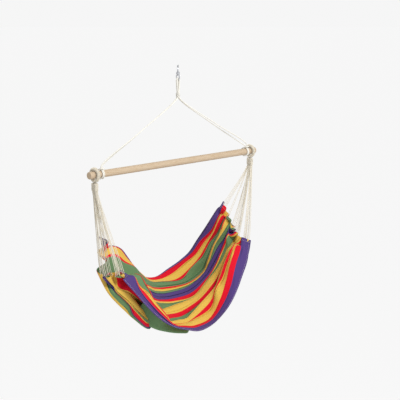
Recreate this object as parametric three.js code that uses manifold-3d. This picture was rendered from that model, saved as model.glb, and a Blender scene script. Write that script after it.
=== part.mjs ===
// Hanging hammock chair: swivel, rope bridle, spreader bar, served cord eyes, hairpin cords and a striped seat cloth.
// Millimetres, +Z up. The origin is the point where a hook bears under the top of the swivel's bow.
// +X runs along the bar and -Y is the side where the sitter's legs hang.

import * as THREE from "three";
import { mergeVertices } from "three/addons/utils/BufferGeometryUtils.js";
import Module from "manifold-3d";

const wasm = await Module();
wasm.setup();

// Driving dimensions.

const clearance = 0.3; // between pieces that touch
const weld = 0.0001; // corners closer than this are one
const overrun = 2; // how far a cutting tool passes a face

// Spreader bar
const barLength = 1000;
const barDiameter = 30;
const barChamfer = 1.5;
const barDrop = 411; // from the hook's bearing point to the bar's axis

// Swivel bow
const bowRod = 6;
const bowWidth = 33; // between the rod's centre lines
const bowHeight = 34; // rod centre at the top to rod centre at the base
const bowTurn = Math.PI / 4; // the bow's plane at rest
const bossDiameter = 15;
const bossHeight = 9;
const shankDiameter = 8;

// Swivel eye
const headDiameter = 12;
const headHeight = 4.5;
const shoulderDiameter = 12;
const shoulderHeight = 2.5;
const eyeRod = 5;
const eyeHoleWidth = 12.4;
const eyeHoleHeight = 13.4;
const eyeCorner = 4.6;

// Bridle rope
const ropeDiameter = 5.5;
const ropeGap = 0.4; // between strands that lie side by side
const seizingDrop = 122; // from the origin to the middle of the seizing
const seizingTurns = 6;
const windingGap = 0.6; // between turns of a wrapping that lie side by side
const hitchInset = 62; // from the bar's end to the middle of the hitch
const legSpread = 5; // how far the right leg's strands part halfway down

// Served eyes round the bar
const eyeInset = 30; // from the bar's end to the eye's middle
const eyeCore = 10.4; // diameter of the bundle inside the serving
const servingCord = 2;
const servingTurns = 16;
const neckLength = 30;
const neckTurns = 10;

// Hairpin cords
const cordDiameter = 2.6;
const cordGap = 0.8;
const cordsPerEnd = 14;
const cordRows = 7; // each row in the neck holds the four legs of two hairpins

// Seat cloth
const clothWidth = 823; // along the weft, over all its folds
const clothThickness = 1.6;
const seatDrop = 740; // from the bar's axis to the lowest cloth
const seatDepth = 250; // from the bar's axis back to the top edge
const holeInset = 7; // cord holes to the cloth's cut end
const holeClearance = 2.2; // cord hole over the cord, across its corners
const seatPanel = 12; // narrowest panel between folds that a cord is seated on
const legRoom = 3.3; // between the middles of two cords on their way to the cloth
const legRise = 5; // from the cut end to where a leg turns towards the neck
const seatRoom = 7; // from a cord's seat to the folds beside it
const foldRound = 9; // how softly one fold runs into the next
const endFolds = 7; // pleats where the cords gather an end

// Values worked out from them.

const barHalf = barLength / 2;
const barRadius = barDiameter / 2;
const boreDiameter = shankDiameter + 2 * clearance;
const bowTop = bowRod / 2; // rod centre above the bearing point
const bowBase = bowTop - bowHeight;
const eyeTop = bowBase - bossHeight / 2 - clearance - shoulderHeight;
const eyeBottom = eyeTop - eyeRod / 2 - eyeHoleHeight; // top of the rod that carries the rope
const ropeRadius = ropeDiameter / 2;
const strandOffset = (ropeDiameter + ropeGap) / 2;

// Solids.

function solidOf(geometry) {
  const plain = geometry.index ? geometry.toNonIndexed() : geometry.clone();
  plain.deleteAttribute("normal");
  plain.deleteAttribute("uv");
  const merged = mergeVertices(plain, weld);
  return new wasm.Manifold(
    new wasm.Mesh({
      numProp: 3,
      vertProperties: new Float32Array(merged.attributes.position.array),
      triVerts: new Uint32Array(merged.index.array),
    }),
  );
}

function geometryOf(solid) {
  const mesh = solid.getMesh();
  const geometry = new THREE.BufferGeometry();
  const position = new THREE.BufferAttribute(new Float32Array(mesh.vertProperties), 3);
  geometry.setAttribute("position", position);
  geometry.setIndex(new THREE.BufferAttribute(new Uint32Array(mesh.triVerts), 1));
  return geometry;
}

// A closed surface from rings of points: each ring is joined to the next, and the ends are capped or joined.
function skin(rings, closed) {
  const sides = rings[0].length;
  const positions = rings.flat().flatMap((p) => [p.x, p.y, p.z]);
  const index = [];
  const last = closed ? rings.length : rings.length - 1;
  for (let i = 0; i < last; i++) {
    const here = i * sides;
    const next = ((i + 1) % rings.length) * sides;
    for (let j = 0; j < sides; j++) {
      const k = (j + 1) % sides;
      index.push(here + j, here + k, next + k, here + j, next + k, next + j);
    }
  }
  if (!closed) {
    const top = (rings.length - 1) * sides;
    for (let j = 1; j < sides - 1; j++) {
      index.push(0, j + 1, j, top, top + j, top + j + 1);
    }
  }
  const geometry = new THREE.BufferGeometry();
  geometry.setAttribute("position", new THREE.Float32BufferAttribute(positions, 3));
  geometry.setIndex(index);
  return geometry;
}

// A round tube through a list of points, with frames carried along so that it doesn't twist.
function tube(points, radius, sides, closed = false) {
  const count = points.length;
  const at = (i) => points[closed ? (i + count) % count : Math.min(Math.max(i, 0), count - 1)];
  const tangents = points.map((_, i) => at(i + 1).clone().sub(at(i - 1)).normalize());
  const normals = [];
  let normal = new THREE.Vector3(0, 1, 0);
  if (Math.abs(normal.dot(tangents[0])) > 0.9) normal.set(1, 0, 0);
  for (let i = 0; i < count; i++) {
    normal = normal.clone().addScaledVector(tangents[i], -normal.dot(tangents[i])).normalize();
    normals.push(normal);
  }
  let turn = 0;
  if (closed) {
    const home = normal.clone().addScaledVector(tangents[0], -normal.dot(tangents[0])).normalize();
    const side = new THREE.Vector3().crossVectors(tangents[0], normals[0]);
    turn = Math.atan2(home.dot(side), home.dot(normals[0]));
  }
  const rings = points.map((p, i) => {
    const binormal = new THREE.Vector3().crossVectors(tangents[i], normals[i]);
    const before = at(i - 1).clone().sub(p).normalize();
    const after = at(i + 1).clone().sub(p).normalize();
    const bend = closed || (i > 0 && i < count - 1) ? before.add(after) : new THREE.Vector3();
    const stretch = 1 / Math.max(Math.sqrt(1 - (bend.length() / 2) ** 2), 1 / 2) - 1;
    const out = bend.length() > 1e-6 ? bend.normalize() : null;
    const ring = [];
    for (let j = 0; j < sides; j++) {
      const angle = (2 * Math.PI * j) / sides - (turn * i) / count;
      const spoke = normals[i].clone().multiplyScalar(Math.cos(angle) * radius);
      spoke.addScaledVector(binormal, Math.sin(angle) * radius);
      if (out) spoke.addScaledVector(out, spoke.dot(out) * stretch);
      ring.push(spoke.add(p));
    }
    return ring;
  });
  return skin(rings, closed);
}

function lathe(profile, sides) {
  const outline = profile.map(([r, z]) => new THREE.Vector2(r, z));
  return new THREE.LatheGeometry(outline, sides).rotateX(Math.PI / 2);
}

// A rounded rectangle about the origin, as points in order.
function roundedLoop(halfWidth, halfHeight, corner, stepsPerCorner) {
  const centres = [
    [1, 1],
    [-1, 1],
    [-1, -1],
    [1, -1],
  ];
  return centres.flatMap(([sx, sy], quarter) => {
    const loop = [];
    for (let i = 0; i <= stepsPerCorner; i++) {
      const angle = (quarter + i / stepsPerCorner) * (Math.PI / 2);
      loop.push([
        sx * (halfWidth - corner) + corner * Math.cos(angle),
        sy * (halfHeight - corner) + corner * Math.sin(angle),
      ]);
    }
    return loop;
  });
}

// A cord wound along a straight axis, turn after turn, round a loop of points.
function winding(loop, turns, pitch, top, centre) {
  const points = [];
  const count = loop.length;
  for (let i = 0; i <= turns * count; i++) {
    const [x, y] = loop[i % count];
    points.push(new THREE.Vector3(centre.x + x, centre.y + y, top - (pitch * i) / count));
  }
  return points;
}

// The least gap between turns of a wound cord: between points that lie half a turn or more apart along it.
function printLeastGap(name, points, stepsPerTurn, diameter, closed) {
  let least = Infinity;
  const apart = Math.ceil(stepsPerTurn / 2);
  for (let i = 0; i < points.length; i++) {
    for (let k = i + apart; k < points.length; k++) {
      if (closed && points.length - (k - i) < apart) continue;
      least = Math.min(least, points[i].distanceTo(points[k]));
    }
  }
  console.log(`${name}: least gap between turns ${(least - diameter).toFixed(2)} mm`);
}

const chair = new THREE.Group();
const cotton = { color: 0xece6d8, roughness: 0.95, metalness: 0 };
const steel = { color: 0xc9ccd0, roughness: 0.28, metalness: 1 };
const wood = { color: 0xdcc4a5, roughness: 0.6, metalness: 0 };
const stripes = { color: 0xd9a441, roughness: 0.95, metalness: 0 };

function addPiece(name, geometry, look, parent = chair) {
  const mesh = new THREE.Mesh(geometry, new THREE.MeshStandardMaterial(look));
  mesh.name = name;
  parent.add(mesh);
  return mesh;
}

// Swivel.

function makeBow() {
  const halfShares = [
    // across and down from the top of the rod's centre line
    [0, 0],
    [0.26, 0.04],
    [0.56, 0.14],
    [0.82, 0.3],
    [0.97, 0.5],
    [1, 0.72],
    [0.99, 0.9],
    [0.88, 1],
  ];
  const place = ([across, down], side) =>
    new THREE.Vector3((side * across * bowWidth) / 2, 0, bowTop - down * bowHeight);
  const right = halfShares.map((share) => place(share, 1));
  const left = halfShares
    .slice(1)
    .reverse()
    .map((share) => place(share, -1));
  const ring = solidOf(tube([...right, ...left], bowRod / 2, 10, true));
  const boss = new THREE.CylinderGeometry(bossDiameter / 2, bossDiameter / 2, bossHeight, 20);
  boss.rotateX(Math.PI / 2).translate(0, 0, bowBase);
  const bore = new THREE.CylinderGeometry(boreDiameter / 2, boreDiameter / 2, bossHeight + overrun, 20);
  bore.rotateX(Math.PI / 2).translate(0, 0, bowBase);
  return geometryOf(ring.add(solidOf(boss)).subtract(solidOf(bore)));
}

function makeSwivelEye() {
  const headBottom = bowBase + bossHeight / 2 + clearance;
  const shoulderTop = bowBase - bossHeight / 2 - clearance;
  const domeShare = 0.55; // of the head's height that stands straight
  const crownShare = 0.6; // of the head's radius left at the top of the dome
  const profile = [
    [0, headBottom + headHeight],
    [(headDiameter / 2) * crownShare, headBottom + headHeight],
    [headDiameter / 2, headBottom + headHeight * domeShare],
    [headDiameter / 2, headBottom],
    [shankDiameter / 2, headBottom],
    [shankDiameter / 2, shoulderTop],
    [shoulderDiameter / 2, shoulderTop],
    [shoulderDiameter / 2, shoulderTop - shoulderHeight / 2],
    [eyeRod / 2, eyeTop - eyeRod / 2],
    [0, eyeTop - eyeRod / 2],
  ];
  const pin = solidOf(lathe(profile.reverse(), 20));
  const halfWidth = (eyeHoleWidth + eyeRod) / 2;
  const halfHeight = (eyeHoleHeight + eyeRod) / 2;
  const middle = eyeTop - eyeRod / 2 - eyeHoleHeight / 2;
  const loop = roundedLoop(halfWidth, halfHeight, eyeCorner, 3);
  const path = loop.map(([y, z]) => new THREE.Vector3(0, y, z + middle));
  const eye = solidOf(tube(path, eyeRod / 2, 10, true));
  return geometryOf(pin.add(eye));
}

const bowGroup = new THREE.Group();
bowGroup.rotation.z = bowTurn;
chair.add(bowGroup);
addPiece("swivel_bow", makeBow(), steel, bowGroup);
addPiece("swivel_eye", makeSwivelEye(), steel);

// Spreader bar.

function makeBar() {
  const profile = [
    [0, -barHalf],
    [barRadius - barChamfer, -barHalf],
    [barRadius, -barHalf + barChamfer],
    [barRadius, barHalf - barChamfer],
    [barRadius - barChamfer, barHalf],
    [0, barHalf],
  ];
  return lathe(profile, 28).rotateY(Math.PI / 2).translate(0, 0, -barDrop);
}

addPiece("spreader_bar", makeBar(), wood);

// Bridle rope.

const bightRiseShare = 1.2; // of the rope's radius, over the strands that the bight crosses
const bightReachShare = 0.95; // of the bar's radius, from its axis to the middle of the bight

// One end's cow hitch, from the strand that comes in to the middle of the bight.
function hitchHalf() {
  const stepAngle = Math.PI / 6;
  const wrapRadius = (barRadius + clearance + ropeRadius) / Math.cos(stepAngle / 2);
  const outerOffset = 3 * strandOffset + 2 * clearance; // the wraps lie outside the standing strands
  const points = [];
  const wrapSteps = 10;
  for (let i = 0; i <= wrapSteps; i++) {
    const angle = Math.PI / 4 - i * stepAngle;
    const ease = THREE.MathUtils.smoothstep(i, 1, 7);
    const along = THREE.MathUtils.lerp(strandOffset, outerOffset, ease);
    points.push(
      new THREE.Vector3(along, -wrapRadius * Math.cos(angle), wrapRadius * Math.sin(angle)),
    );
  }
  const top = barRadius + ropeDiameter;
  const overTopShares = [
    // along, across and up, where the bight closes over the standing strands
    [1, 0.17, 0.18],
    [1, 0.6, 1],
    [0.6, 0.9, bightRiseShare],
  ];
  for (const [along, across, up] of overTopShares) {
    points.push(new THREE.Vector3(outerOffset * along, -barRadius * across, top + ropeRadius * up));
  }
  return points;
}

function bridlePath() {
  const half = hitchHalf();
  const hitchX = barHalf - hitchInset;
  const toWorld = (side) => (p) => new THREE.Vector3(side * hitchX + p.x, p.y, p.z - barDrop);
  const outerStrand = half.map((p) => p.clone().setX(-p.x));
  const innerStrand = half.map((p) => p.clone()).reverse();
  const seizingHalf = ((seizingTurns + 1) * (servingCord + windingGap)) / 2;
  const rise = ropeRadius * 3; // where the strands leave the hitch
  const lift = ([along, across, up]) => [along * strandOffset, across * strandOffset, barRadius + up * rise];
  // Along the bar towards the middle, across and up, for the strand on the far side of the hitch and the near one.
  const wayUp = [
    [-1.06, -2.29, 1],
    [0.4, -2.06, 2.7],
  ].map(lift);
  const nearUp = [
    [1.06, -2.24, 1],
    [1.6, -0.33, 1.7],
    [4.65, 1, 2.4],
  ].map(lift);
  const path = [];
  for (const side of [-1, 1]) {
    const placed = ([x, y, z]) => new THREE.Vector3(side * (hitchX - x), y, z - barDrop);
    const spread = side > 0 ? legSpread : 0;
    const halfway = -(barDrop + seizingDrop) / 2;
    const lower = -seizingDrop - seizingHalf;
    const upper = -seizingDrop + seizingHalf;
    const far = [
      new THREE.Vector3(side * strandOffset, -strandOffset, upper),
      new THREE.Vector3(side * strandOffset, -strandOffset, lower),
      new THREE.Vector3((side * hitchX) / 2, -strandOffset - spread, halfway + rise),
      ...[...wayUp].reverse().map(placed),
      ...outerStrand.map((p) => placed([p.x, p.y, p.z])),
    ];
    const near = [
      ...innerStrand.map((p) => placed([p.x, p.y, p.z])),
      ...nearUp.map(placed),
      new THREE.Vector3((side * hitchX) / 2, strandOffset + spread, halfway + rise / 2),
      new THREE.Vector3(side * strandOffset, strandOffset, lower),
      new THREE.Vector3(side * strandOffset, strandOffset, upper),
    ];
    const centre = placed([0, -barRadius * bightReachShare, barRadius + ropeDiameter + ropeRadius * bightRiseShare]);
    path.push(side < 0 ? [...far, centre, ...near] : [...near.reverse(), centre, ...far.reverse()]);
  }
  const [leftLeg, rightLeg] = path;
  const bendRadius = (eyeRod / 2 + clearance + ropeRadius) / Math.cos(Math.PI / 8);
  const over = (y, from) => {
    const bend = [];
    for (let i = 0; i <= 4; i++) {
      const angle = (i * Math.PI) / 4;
      const centre = eyeBottom - eyeRod / 2;
      bend.push(
        new THREE.Vector3(from * bendRadius * Math.cos(angle), y, centre + bendRadius * Math.sin(angle)),
      );
    }
    return bend;
  };
  return [...leftLeg, ...over(strandOffset, -1), ...rightLeg, ...over(-strandOffset, 1)];
}

addPiece("bridle_rope", tube(bridlePath(), ropeRadius, 8, true), cotton);

function makeSeizing() {
  const corner = ropeRadius + 2 * clearance + servingCord / 2;
  const half = strandOffset + corner + 4 * clearance;
  const loop = roundedLoop(half, half, corner, 2);
  const pitch = servingCord + windingGap;
  const top = -seizingDrop + (seizingTurns * pitch) / 2;
  const path = winding(loop, seizingTurns, pitch, top, new THREE.Vector3());
  printLeastGap("bridle_seizing", path, loop.length, servingCord, false);
  return tube(path, servingCord / 2, 4);
}

addPiece("bridle_seizing", makeSeizing(), cotton);

// Served eyes round the bar.

const eyeSteps = 8; // corners of each turn of the serving
const servingRadius = (eyeCore / 2 + clearance + servingCord / 2) / Math.cos(Math.PI / eyeSteps);
const eyeThickness = 2 * servingRadius + servingCord;
const eyeRadius = barRadius + clearance * 2 + eyeThickness / 2; // of the bundle's centre line
const eyeCentreZ = -barDrop - clearance;
const neckTop = eyeCentreZ - eyeRadius - servingRadius - servingCord / 2;
const cordPitch = cordDiameter + cordGap;

function makeEyeCore(side) {
  const core = new THREE.TorusGeometry(eyeRadius, eyeCore / 2, 8, 28);
  return core.rotateY(Math.PI / 2).translate(side * (barHalf - eyeInset), 0, eyeCentreZ);
}

function makeEyeServing(side) {
  const points = [];
  for (let i = 0; i < servingTurns * eyeSteps; i++) {
    const round = (2 * Math.PI * i) / (servingTurns * eyeSteps);
    const about = (2 * Math.PI * i) / eyeSteps;
    const reach = eyeRadius + servingRadius * Math.cos(about);
    points.push(
      new THREE.Vector3(
        side * (barHalf - eyeInset) + servingRadius * Math.sin(about),
        reach * Math.sin(round),
        eyeCentreZ - reach * Math.cos(round),
      ),
    );
  }
  printLeastGap("eye_serving", points, eyeSteps, servingCord, true);
  return tube(points, servingCord / 2, 4, true);
}

function makeNeck(side) {
  const corner = cordDiameter / 2 + 2 * clearance + servingCord / 2;
  const halfX = cordPitch * 1.5 + corner;
  const halfY = (cordPitch * (cordRows - 1)) / 2 + corner;
  const loop = roundedLoop(halfX, halfY, corner, 2);
  const centre = new THREE.Vector3(side * (barHalf - eyeInset), 0, 0);
  const path = winding(loop, neckTurns, neckLength / neckTurns, neckTop - servingCord, centre);
  printLeastGap("neck_whipping", path, loop.length, servingCord, false);
  return tube(path, servingCord / 2, 4);
}

const sides = [
  ["left", -1],
  ["right", 1],
];
for (const [name, side] of sides) {
  addPiece(`${name}_eye_core`, makeEyeCore(side), cotton);
  addPiece(`${name}_eye_serving`, makeEyeServing(side), cotton);
  addPiece(`${name}_neck_whipping`, makeNeck(side), cotton);
}

// Seat cloth.

// The weft runs from the front edge to the top edge at the back, through bands cut at the stripes' edges.
const bandShares = [
  0.034, 0.041, 0.039, 0.015, 0.055, 0.055, 0.016, 0.061, 0.024, 0.056, 0.051, 0.036, 0.015, 0.036,
  0.051, 0.051, 0.034, 0.027, 0.012, 0.046, 0.046, 0.022, 0.063, 0.044, 0.07,
];

// The way each band heads at six places from the left end to the right, in degrees:
// 0 runs towards the back, and 90 turns into the seat.
const headings = [
  [
    0,
    [
      -100, 60, 90, 70, -60, 80, 80, 50, 5, -40, -30, 50, 70,
      50, -40, -50, -30, 20, 50, 50, 20, -30, -50, -10, 40,
    ],
  ],
  [
    0.25,
    [
      -120, 100, 100, 95, -75, 95, 90, 50, 5, -15, -20, 70, 85,
      50, -40, -40, -30, 0, 30, 40, 20, -30, -40, -10, 40,
    ],
  ],
  [
    0.38,
    [
      -60, 60, 60, 55, 30, -90, -90, -10, 30, 20, -30, -30, 40,
      50, 20, -50, -40, 0, 20, 40, 45, -10, -30, 10, 35,
    ],
  ],
  [
    0.5,
    [
      -10, 0, 5, 10, 10, -172, -178, -8, 30, 60, 30, -60, -55,
      -20, 60, 55, -60, -60, -20, 55, 60, -10, -35, 10, 35,
    ],
  ],
  [
    0.75,
    [
      0, 0, 5, 10, 15, -170, -175, -40, 30, 50, 50, -50, -60,
      -20, 60, 55, -60, -60, -5, 55, 50, -30, -45, 10, 30,
    ],
  ],
  [
    1,
    [
      0, 0, 0, 5, 10, -150, -150, -60, 20, 40, 0, -60, -40,
      30, 60, 20, -60, -40, 10, 50, 30, -20, 0, 20, 20,
    ],
  ],
];

// Guide lines from the left end to the right, as shares of the bar's half length, the seat's depth and its drop.
const frontShares = [
  [0, [-0.79, -0.39, 0.541]],
  [0.125, [-0.752, -0.452, 0.646]],
  [0.25, [-0.62, -0.52, 0.751]],
  [0.375, [-0.36, -0.624, 0.885]],
  [0.5, [-0.06, -0.68, 0.962]],
  [0.625, [0.22, -0.652, 0.899]],
  [0.75, [0.46, -0.584, 0.816]],
  [0.875, [0.656, -0.472, 0.682]],
  [1, [0.754, -0.368, 0.535]],
];
const hollowShares = [
  [0, [-0.88, -0.03, 0.561]],
  [0.125, [-0.81, -0.01, 0.676]],
  [0.25, [-0.67, -0.03, 0.811]],
  [0.375, [-0.41, 0.05, 0.919]],
  [0.5, [-0.03, 0.25, 0.932]],
  [0.625, [0.24, 0.27, 0.824]],
  [0.75, [0.47, 0.19, 0.682]],
  [0.875, [0.616, 0.09, 0.547]],
  [1, [0.69, -0.04, 0.466]],
];
const backShares = [
  [0, [-0.81, 0.25, 0.354]],
  [0.125, [-0.69, 0.37, 0.466]],
  [0.25, [-0.54, 0.59, 0.622]],
  [0.375, [-0.33, 0.81, 0.75]],
  [0.5, [-0.04, 0.93, 0.824]],
  [0.625, [0.25, 0.87, 0.764]],
  [0.75, [0.496, 0.64, 0.628]],
  [0.875, [0.636, 0.37, 0.439]],
  [1, [0.75, 0.32, 0.318]],
];
const hollowShare = 0.67; // where across the weft the hollow's guide line runs
const frontShare = 0.34; // the front part that follows the front edge alone
const gatherShare = 0.085; // of the warp, over which the end's pleats die out
const fluteShare = 0.25; // of the warp, over which the last of the flutes die out
const pleatSwing = 1.9; // radians each way, where an end is gathered
const fluteSwing = 0.35; // radians each way, in the flutes that run on from the pleats
const openSwing = 1.5; // steepest heading of a fold in the open cloth, in radians
const endSwing = 2; // steepest heading of a pleat in the gathered end, in radians
const leastLean = 0.7; // sharpest mitre of the cloth's thickness in a fold
const sharpTurn = 150; // degrees between two bands where the cloth turns back on itself
const roundReachShare = 2.5; // of a fold's rounding, past which it no longer counts
const spanTries = 24; // halvings that set how deep the folds are
const guideStep = 0.001; // share of the warp to either side, for a guide line's direction

// A smooth curve through values kept at uneven places.
function through(table, u) {
  let i = 0;
  while (i < table.length - 2 && u >= table[i + 1][0]) i++;
  const slope = (k) => {
    const [ua, a] = table[Math.max(k - 1, 0)];
    const [ub, b] = table[Math.min(k + 1, table.length - 1)];
    return b.map((value, n) => (value - a[n]) / (ub - ua));
  };
  const [u0, p0] = table[i];
  const [u1, p1] = table[i + 1];
  const step = u1 - u0;
  const t = (u - u0) / step;
  const [m0, m1] = [slope(i), slope(i + 1)];
  return p0.map((value, n) => {
    const start = (2 * t ** 3 - 3 * t ** 2 + 1) * value + (t ** 3 - 2 * t ** 2 + t) * step * m0[n];
    return start + (3 * t ** 2 - 2 * t ** 3) * p1[n] + (t ** 3 - t ** 2) * step * m1[n];
  });
}

function guide(table, u) {
  const [x, y, z] = through(table, u);
  return new THREE.Vector3(x * barHalf, y * seatDepth, -barDrop - z * seatDrop);
}

const weftSteps = 336; // fine steps across the weft, where the folds are laid out
const weftStep = clothWidth / weftSteps;

const sum = (values) => values.reduce((total, value) => total + value, 0);

// Headings averaged over the length of a fold's rounding.
function softened(heads) {
  const reach = Math.round((foldRound * roundReachShare) / weftStep);
  const weights = [];
  for (let k = -reach; k <= reach; k++) weights.push(Math.exp(-(((k * weftStep) / foldRound) ** 2) / 2));
  const whole = sum(weights);
  const last = heads.length - 1;
  return heads.map((_, i) => {
    const near = weights.map((weight, k) => weight * heads[Math.min(Math.max(i + k - reach, 0), last)]);
    return sum(near) / whole;
  });
}

// One stretch of the weft line, with its folds deepened or eased until it spans the way it has to go.
function spanned(heads, across, into, steepest) {
  const goal = Math.hypot(across, into);
  const swing = Math.max(...heads.map(Math.abs));
  const spanOf = (scale) => {
    const along = sum(heads.map((head) => Math.cos(head * scale))) * weftStep;
    const aside = sum(heads.map((head) => Math.sin(head * scale))) * weftStep;
    return [along, aside];
  };
  let low = 0;
  let high = steepest / swing;
  for (let i = 0; i < spanTries; i++) {
    const middle = (low + high) / 2;
    if (Math.hypot(...spanOf(middle)) > goal) low = middle;
    else high = middle;
  }
  const [along, aside] = spanOf(low);
  const turn = Math.atan2(into, across) - Math.atan2(aside, along);
  return heads.map((head) => head * low + turn);
}

// The weft line at one place along the warp: its folds keep the cloth's width, and three guide lines place it.
function weftLine(u) {
  const bandHeads = through(headings, u);
  const end = Math.min(u, 1 - u);
  const gather = Math.exp(-((end / gatherShare) ** 2));
  const flute = fluteSwing * Math.exp(-((end / fluteShare) ** 2)) * (1 - gather);
  const raw = [];
  let band = 0;
  let edge = bandShares[0];
  for (let i = 0; i < weftSteps; i++) {
    const v = (i + 0.5) / weftSteps;
    while (v > edge && band < bandShares.length - 1) edge += bandShares[++band];
    raw.push((bandHeads[band] * Math.PI) / 180);
  }
  const heads = softened(raw).map((head, i) => {
    const pleat = Math.sin((2 * Math.PI * endFolds * (i + 0.5)) / weftSteps);
    return head * (1 - gather) + pleat * (pleatSwing * gather + flute);
  });
  const front = guide(frontShares, u);
  const behind = guide(frontShares, Math.max(u - guideStep, 0));
  const ahead = guide(frontShares, Math.min(u + guideStep, 1));
  const along = ahead.sub(behind).setY(0).normalize();
  const inward = new THREE.Vector3(-along.z, 0, along.x);
  const draw = (start, list) => {
    const line = [start.clone()];
    for (const head of list) {
      const next = line.at(-1).clone();
      next.y += Math.cos(head) * weftStep;
      next.addScaledVector(inward, Math.sin(head) * weftStep);
      line.push(next);
    }
    return line;
  };
  const hold = Math.round(frontShare * weftSteps);
  const turn = Math.round(hollowShare * weftSteps);
  const hollow = guide(hollowShares, u);
  const back = guide(backShares, u);
  const steepest = THREE.MathUtils.lerp(openSwing, endSwing, gather);
  const open = draw(front, heads.slice(0, hold)).at(-1);
  const gathered = front.clone().lerp(hollow, frontShare / hollowShare);
  const toHold = open.lerp(gathered, gather).sub(front);
  const first = spanned(heads.slice(0, hold), toHold.y, toHold.dot(inward), Math.PI);
  const toHollow = hollow.clone().sub(draw(front, first).at(-1));
  const toBack = back.clone().sub(hollow);
  const middle = spanned(heads.slice(hold, turn), toHollow.y, toHollow.dot(inward), steepest);
  const rear = spanned(heads.slice(turn), toBack.y, toBack.dot(inward), steepest);
  const line = draw(front, [...first, ...middle, ...rear]);
  const pull = (target, from, to) => {
    const shift = target.clone().sub(line[to]);
    line.forEach((p, i) => {
      p.addScaledVector(shift, THREE.MathUtils.clamp((i - from) / (to - from), 0, 1));
    });
  };
  pull(hollow, hold, turn);
  pull(back, turn, weftSteps);
  return line;
}

const warpRows = 16;
const weftColumns = 36;
const warpPlace = (i) => {
  const even = i / (warpRows - 1);
  const dense = (1 - Math.cos(Math.PI * even)) / 2;
  return (even + dense) / 2;
};

// A column stands at each band's edge, two close together where the cloth turns back on itself there,
// and more stand in the widest bands.
function columnPlaces() {
  const edges = [0];
  for (const share of bandShares) edges.push(edges.at(-1) + share);
  const whole = edges.at(-1);
  const places = [0, 1];
  for (let n = 1; n < bandShares.length; n++) {
    const turns = headings.map(([, heads]) => Math.abs(heads[n] - heads[n - 1]));
    const half = Math.max(...turns) > sharpTurn ? foldRound / clothWidth : 0;
    places.push(edges[n] / whole - half);
    if (half) places.push(edges[n] / whole + half);
  }
  places.sort((a, b) => a - b);
  while (places.length <= weftColumns) {
    let widest = 1;
    for (let j = 2; j < places.length; j++) {
      if (places[j] - places[j - 1] > places[widest] - places[widest - 1]) widest = j;
    }
    places.splice(widest, 0, (places[widest] + places[widest - 1]) / 2);
  }
  return places;
}

const columns = columnPlaces();
const grid = [];
for (let i = 0; i < warpRows; i++) {
  const line = weftLine(warpPlace(i));
  grid.push(columns.map((v) => line[Math.round(v * weftSteps)]));
}

// A panel's normal, as long as twice its area.
function panelNormal(i, j) {
  const rising = grid[i + 1][j + 1].clone().sub(grid[i][j]);
  const falling = grid[i][j + 1].clone().sub(grid[i + 1][j]);
  return falling.cross(rising);
}

// Half the cloth's thickness at one corner of its grid, mitred where the panels round it fold.
function halfThickness(i, j) {
  const panels = [];
  for (const [row, column] of [
    [i - 1, j - 1],
    [i - 1, j],
    [i, j - 1],
    [i, j],
  ]) {
    if (row < 0 || column < 0 || row > warpRows - 2 || column > weftColumns - 1) continue;
    panels.push(panelNormal(row, column));
  }
  const normal = new THREE.Vector3();
  panels.forEach((panel) => normal.add(panel));
  const lean = normal.length() / sum(panels.map((panel) => panel.length()));
  return normal.normalize().multiplyScalar(clothThickness / 2 / Math.max(lean, leastLean));
}

// The cloth as one closed sheet: two faces that share their diagonals, and a strip along each edge.
function makeCloth() {
  const positions = [];
  for (const way of [1, -1]) {
    grid.forEach((row, i) => {
      row.forEach((point, j) => {
        const { x, y, z } = point.clone().addScaledVector(halfThickness(i, j), way);
        positions.push(x, y, z);
      });
    });
  }
  const across = weftColumns + 1;
  const under = warpRows * across;
  const index = [];
  const strip = (a, b) => index.push(a, b, b + under, a, b + under, a + under);
  for (let i = 0; i < warpRows - 1; i++) {
    for (let j = 0; j < weftColumns; j++) {
      const a = i * across + j;
      const [b, c, d] = [a + 1, a + across + 1, a + across];
      index.push(a, b, c, a, c, d);
      index.push(a + under, c + under, b + under, a + under, d + under, c + under);
    }
    const front = i * across;
    const back = front + weftColumns;
    strip(front, front + across);
    strip(back + across, back);
  }
  const top = (warpRows - 1) * across;
  for (let j = 0; j < weftColumns; j++) {
    strip(j + 1, j);
    strip(top + j, top + j + 1);
  }
  const geometry = new THREE.BufferGeometry();
  geometry.setAttribute("position", new THREE.Float32BufferAttribute(positions, 3));
  geometry.setIndex(index);
  return geometry;
}

// Hairpin cords.

// The panels of one cut end that its cords are seated on, each with room beside it and none used twice.
function seatPanels(side) {
  const row = grid[side < 0 ? 0 : warpRows - 1];
  const roomy = [];
  for (let n = 1; n < weftColumns; n++) {
    const centre = row[n].clone().add(row[n + 1]).multiplyScalar(1 / 2);
    const others = row.filter((_, m) => m !== n && m !== n + 1);
    const clear = others.every((point) => point.distanceTo(centre) > seatRoom);
    if (clear && row[n].distanceTo(row[n + 1]) > seatPanel) roomy.push(n);
  }
  const chosen = [];
  for (let k = 0; k < cordsPerEnd; k++) {
    const wanted = (k + 0.5) / cordsPerEnd;
    const away = (n) => Math.abs((columns[n] + columns[n + 1]) / 2 - wanted);
    const lastFit = roomy.length - cordsPerEnd + k;
    const left = roomy.filter((n, place) => n > (chosen.at(-1) ?? 0) && place <= lastFit);
    chosen.push(left.reduce((best, n) => (away(n) < away(best) ? n : best)));
  }
  return chosen;
}

// Where one cord meets the cloth: the point on the cut end, the way out of it and the cloth's normal.
const panels = { [-1]: seatPanels(-1), [1]: seatPanels(1) };

function cordSeat(side, k) {
  const i = side < 0 ? 0 : warpRows - 1;
  const j = panels[side][k];
  const next = side < 0 ? 1 : warpRows - 2;
  const between = (row) => grid[row][j].clone().add(grid[row][j + 1]).multiplyScalar(1 / 2);
  const edge = between(i);
  const out = edge.clone().sub(between(next)).normalize();
  const across = grid[i][j + 1].clone().sub(grid[i][j]);
  const normal = across.cross(out).normalize();
  return { edge, out, normal };
}

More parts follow.
